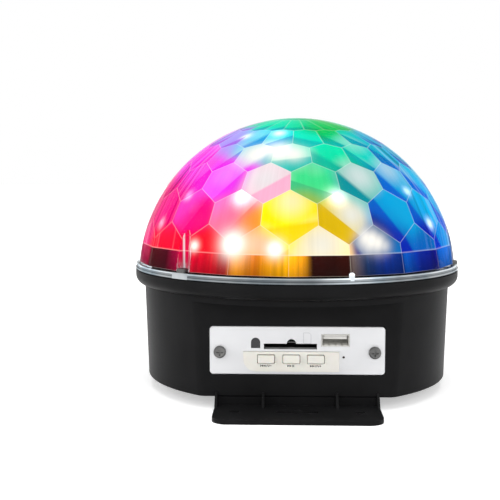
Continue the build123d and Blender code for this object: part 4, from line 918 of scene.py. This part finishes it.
def nub_core(angle):
    """A glowing core in one locating nub: a painted highlight."""
    middle = towards(angle, 0) * NUB_ORBIT
    points, faces = [], []
    for z, share in ((RIM_LOW + NUB_FOOT_UP, 1.0), (NUB_TOP - NUB_EDGE, 1.0), (NUB_TOP, NUB_TAPER)):
        points += ring(middle, NUB_REACH * share, z, NUB_SIDES)
    for level in (0, 1):
        for k in range(NUB_SIDES):
            a = level * NUB_SIDES + k
            b = level * NUB_SIDES + (k + 1) % NUB_SIDES
            faces.append((a, b, b + NUB_SIDES, a + NUB_SIDES))
    faces.append(tuple(2 * NUB_SIDES + k for k in range(NUB_SIDES)))
    faces.append(tuple(NUB_SIDES - 1 - k for k in range(NUB_SIDES)))
    return points, faces


def foot_arc(angle):
    """A short glowing arc at the foot of one screw channel: a painted highlight."""
    points = []
    for z in (RIM_LOW, RIM_HIGH + ARC_UP):
        for k in range(ARC_STEPS + 1):
            turn = angle - ARC_SPREAD + 2 * ARC_SPREAD * k / ARC_STEPS
            points.append(towards(turn, 0) * (RIM_RADIUS + ARC_OUT) + Vector((0, 0, z)))
    faces = [(k, k + 1, k + ARC_STEPS + 2, k + ARC_STEPS + 1) for k in range(ARC_STEPS)]
    return points, faces


flange_glow = glow_by_height("flange_glow", FLANGE_STOPS)
build("flange_light", *rim_band(), flange_glow, "base", "clear_dome")
nub_glow = glow_by_height("nub_glow", NUB_STOPS)
cores = [nub_core(angle) for angle in NUB_ANGLES]
arcs = [foot_arc(angle) for angle in CHANNEL_ANGLES]
build("nub_light", *joined(cores + arcs), nub_glow, "base", "clear_dome")

# Marks on the front panel and the bezel, all generic, in millimetres
INK = 0.06
ICON_X, ICON_Z = 4.75, 34.2
ICON_WIDTH, ICON_HEIGHT = 3.7, 5.2
ICON_CUT, ICON_LINE = 0.9, 0.22
SIGN_SIZE = 1.05
STROKE, THIN_STROKE = 0.28, 0.224
SIGN_LEFT, SIGN_DOWN = 0.3, 0.45  # from the middle of a button's lower edge
# Each button's sign: its strokes, and how far right of the sign's middle they stand
SIGNS = {
    "prev": (("bar", -2.3), ("left", -1.6), ("left", -0.5)),
    "play": (("right", -1.1), ("right", -0.05), ("bar", 0.85), ("bar", 1.4)),
    "next": (("right", -1.9), ("right", -0.8), ("bar", 0.0)),
}
SLANTED = ((0.65, 0.35), (1.25, -0.45), (1.7, 0.45))  # place and lean of the slanted strokes
LEVEL_AT, LEVEL_WIDTH = 2.45, 0.7  # the level stroke after them
PLUS_OFF, PLUS_HEIGHT = 0.26, 0.24  # two short strokes that make a plus of it
panel_front = box_mm("front_panel")[0].y
bezel_front = box_mm("button_bezel")[0].y


def card_outline():
    """Four thin bars and a cut corner that draw a memory card."""
    left, right = ICON_X - ICON_WIDTH / 2, ICON_X + ICON_WIDTH / 2
    foot, top = ICON_Z - ICON_HEIGHT / 2, ICON_Z + ICON_HEIGHT / 2
    line, cut = ICON_LINE, ICON_CUT
    return [
        [(left, foot), (left, top), (left + line, top), (left + line, foot)],
        [(left + line, top - line), (left + line, top), (right - cut, top), (right - cut, top - line)],
        [(right - cut, top - line), (right - cut, top), (right, top - cut), (right - line, top - cut)],
        [(right - line, foot), (right - line, top - cut), (right, top - cut), (right, foot)],
        [(left + line, foot), (left + line, foot + line), (right - line, foot + line), (right - line, foot)],
    ]


def stroke(kind, x, z):
    """One stroke of a sign: an upright bar, or a triangle that points left or right."""
    if kind == "bar":
        return bar(x, z, STROKE, SIGN_SIZE)
    return arrow(x, z, SIGN_SIZE, 1 if kind == "right" else -1)


def media_marks():
    """Back, play and next signs below the buttons, with quieter and louder beside the first and last."""
    outlines = []
    for name, sign in SIGNS.items():
        low, high = box_mm(f"button_{name}")
        x, z = (low.x + high.x) / 2 - SIGN_LEFT, low.z - SIGN_DOWN
        if name != "play":
            outlines += [leaning(x + at, z, SIGN_SIZE, THIN_STROKE, lean) for at, lean in SLANTED]
            outlines.append(bar(x + LEVEL_AT, z, LEVEL_WIDTH, STROKE))
        outlines += [stroke(kind, x + at, z) for kind, at in sign]
        if name == "next":
            outlines += [bar(x + LEVEL_AT, z + off, STROKE, PLUS_HEIGHT) for off in (PLUS_OFF, -PLUS_OFF)]
    return outlines


build("card_mark", *slabs(card_outline(), panel_front - INK, INK), print_grey, "base", "panel_silver")
build("media_marks", *slabs(media_marks(), bezel_front - INK, INK), print_dark, "base", "cream_plastic")

# Springs and a lip in the sockets, in millimetres
SPRING_STEPS = 8
SPRING_THICK = 0.2
USB_PLACES = (0.16, 0.39, 0.62, 0.85)  # of the four springs, as shares of the shell's width
USB_INSET, USB_LIFT = 0.9, 0.36  # behind the shell's front, and above its lowest edge
CARD_WALL, CARD_ROOM = 0.4, 0.3  # the socket's wall, and the room left beside it
LIP_HEIGHT, LIP_DEPTH, LIP_INSET = 0.95, 1.0, 0.15
LIP_SHORTER = 0.8  # than the room between the socket's walls
CARD_SPRING_IN, CARD_SPRING_ASIDE = 1.3, 2.4  # behind the socket's front, and from each side
usb_low, usb_high = box_mm("usb_shell")
card_low, card_high = box_mm("card_socket")


def tongue(x, y, z, width, length, height):
    """A springy metal tongue along y that bows up in its middle."""
    points, faces = [], []
    for k in range(SPRING_STEPS + 1):
        share = k / SPRING_STEPS
        lift = height * math.sin(math.pi * share)
        for dx in (-width / 2, width / 2):
            for dz in (0, SPRING_THICK):
                points.append((x + dx, y + length * share, z + lift + dz))
    for k in range(SPRING_STEPS):
        a, b = 4 * k, 4 * k + 4
        faces += [(a, b, b + 1, a + 1), (a + 1, b + 1, b + 3, a + 3)]
        faces += [(a + 3, b + 3, b + 2, a + 2), (a + 2, b + 2, b, a)]
    end = 4 * SPRING_STEPS
    faces += [(0, 1, 3, 2), (end, end + 2, end + 3, end + 1)]
    return points, faces


def usb_springs():
    """Four contact springs on the floor of the USB shell."""
    width = usb_high.x - usb_low.x
    y, z = usb_low.y + USB_INSET, usb_low.z + USB_LIFT
    places = [usb_low.x + width * share for share in USB_PLACES]
    return joined([tongue(x, y, z, width=2.0, length=6.0, height=0.35) for x in places])


def card_springs():
    """A lip across the card socket's mouth, and two springs behind it."""
    floor_z = card_low.z + CARD_WALL
    left = card_low.x + CARD_WALL + CARD_ROOM
    right = card_high.x - CARD_WALL - CARD_ROOM
    outline = bar((left + right) / 2, floor_z + LIP_HEIGHT / 2, right - left - LIP_SHORTER, LIP_HEIGHT)
    lip = slabs([outline], card_low.y + LIP_INSET, LIP_DEPTH)
    y, z = card_low.y + CARD_SPRING_IN, floor_z + LIP_HEIGHT - SPRING_THICK
    places = (left + CARD_SPRING_ASIDE, right - CARD_SPRING_ASIDE)
    return joined([lip] + [tongue(x, y, z, width=3.2, length=7.0, height=0.9) for x in places])


build("usb_springs", *usb_springs(), nickel, "base", "nickel_shell")
build("card_springs", *card_springs(), screw_steel, "base", "nickel_shell")

# Camera at the photograph's viewing angle, in metres and radians
CAMERA_SPOT = (-0.00698, -0.49995, 0.11338)
LOOK_DOWN, LOOK_LEFT = 0.086, 0.035
camera = bpy.data.objects.new("camera", bpy.data.cameras.new("camera"))
camera.location = CAMERA_SPOT
camera.rotation_euler = (math.pi / 2 - LOOK_DOWN, 0, LOOK_LEFT)
camera.data.lens = 67.36
camera.data.sensor_width = 36
camera.data.clip_start = 0.01
scene.collection.objects.link(camera)
scene.camera = camera

# Floor and surroundings, in metres
FLOOR_HALF = 6
LIFT_START, LIFT_END = 0.12, 0.8  # distances from the lamp over which the floor is lifted to white
LIFT_LEAST = 0.45
WORLD_LIGHT = 0.3  # strength at which the world lights the lamp


def floor_finish():
    """Off-white, and lifted to white for the camera alone, away from the lamp's shadow."""
    made, tree, shader = start("floor_white")
    coords = place(tree)
    tone = ramp(tree, noise(tree, coords, scale=25.0), [(NOISE_LOW, 0.8), (NOISE_HIGH, 0.83)])
    tree.links.new(tone, shader.inputs["Base Color"])
    assign(shader, Roughness=0.9, Specular_IOR_Level=0.1)
    path = tree.nodes.new("ShaderNodeLightPath")
    distance = computed(tree, VECTOR_MATH, "LENGTH", coords)["Value"]
    away = between(tree, distance, LIFT_START, LIFT_END, low=LIFT_LEAST)
    seen = computed(tree, MATH, "MULTIPLY", path.outputs["Is Camera Ray"], away)["Value"]
    lift = tree.nodes.new("ShaderNodeEmission")
    assign(lift, Color=(*WHITE_TONE, 1))
    tree.links.new(seen, lift.inputs["Strength"])
    both = tree.nodes.new("ShaderNodeAddShader")
    tree.links.new(shader.outputs["BSDF"], both.inputs[0])
    tree.links.new(lift.outputs["Emission"], both.inputs[1])
    tree.links.new(both.outputs["Shader"], tree.nodes["Material Output"].inputs["Surface"])
    return made


floor_mesh = bpy.data.meshes.new("floor")
floor_corners = [(x * FLOOR_HALF, y * FLOOR_HALF, 0) for x, y in ((-1, -1), (1, -1), (1, 1), (-1, 1))]
floor_mesh.from_pydata(floor_corners, [], [(0, 1, 2, 3)])
floor = bpy.data.objects.new("floor", floor_mesh)
scene.collection.objects.link(floor)
floor_mesh.materials.append(floor_finish())

# World: white where it is seen or mirrored, plain and soft where it lights
world = bpy.data.worlds.new("studio")
scene.world = world
world.use_nodes = True
tree = world.node_tree
back = tree.nodes["Background"]
assign(back, Color=(*WHITE_TONE, 1))
path = tree.nodes.new("ShaderNodeLightPath")
seen = path.outputs["Is Camera Ray"]
for kind in ("Is Transmission Ray", "Is Glossy Ray"):
    seen = computed(tree, MATH, "MAXIMUM", seen, path.outputs[kind])["Value"]
tree.links.new(between(tree, seen, 0.0, 1.0, low=WORLD_LIGHT), back.inputs["Strength"])


def softbox(name, spot, size, power, aim=(0, 0, 0.05)):
    """A soft lamp that glossy and clear surfaces don't mirror, turned towards its aim."""
    lamp = bpy.data.lights.new(name, "AREA")
    lamp.shape = "RECTANGLE"
    lamp.size, lamp.size_y = size
    lamp.energy = power
    holder = bpy.data.objects.new(name, lamp)
    holder.location = spot
    holder.visible_glossy = False
    holder.visible_transmission = False
    holder.rotation_euler = (Vector(aim) - Vector(spot)).to_track_quat("-Z", "Y").to_euler()
    scene.collection.objects.link(holder)


softbox("key_left", (-0.75, -0.35, 0.35), size=(0.35, 0.7), power=3.5)
softbox("key_right", (0.8, -0.25, 0.3), size=(0.3, 0.7), power=2.5)
softbox("top", (0.0, -0.2, 1.1), size=(0.8, 0.8), power=8.0)
softbox("front", (0.1, -1.2, 0.6), size=(0.8, 0.5), power=6.0, aim=(0, 0, 0.06))

scene.view_settings.view_transform = "Standard"
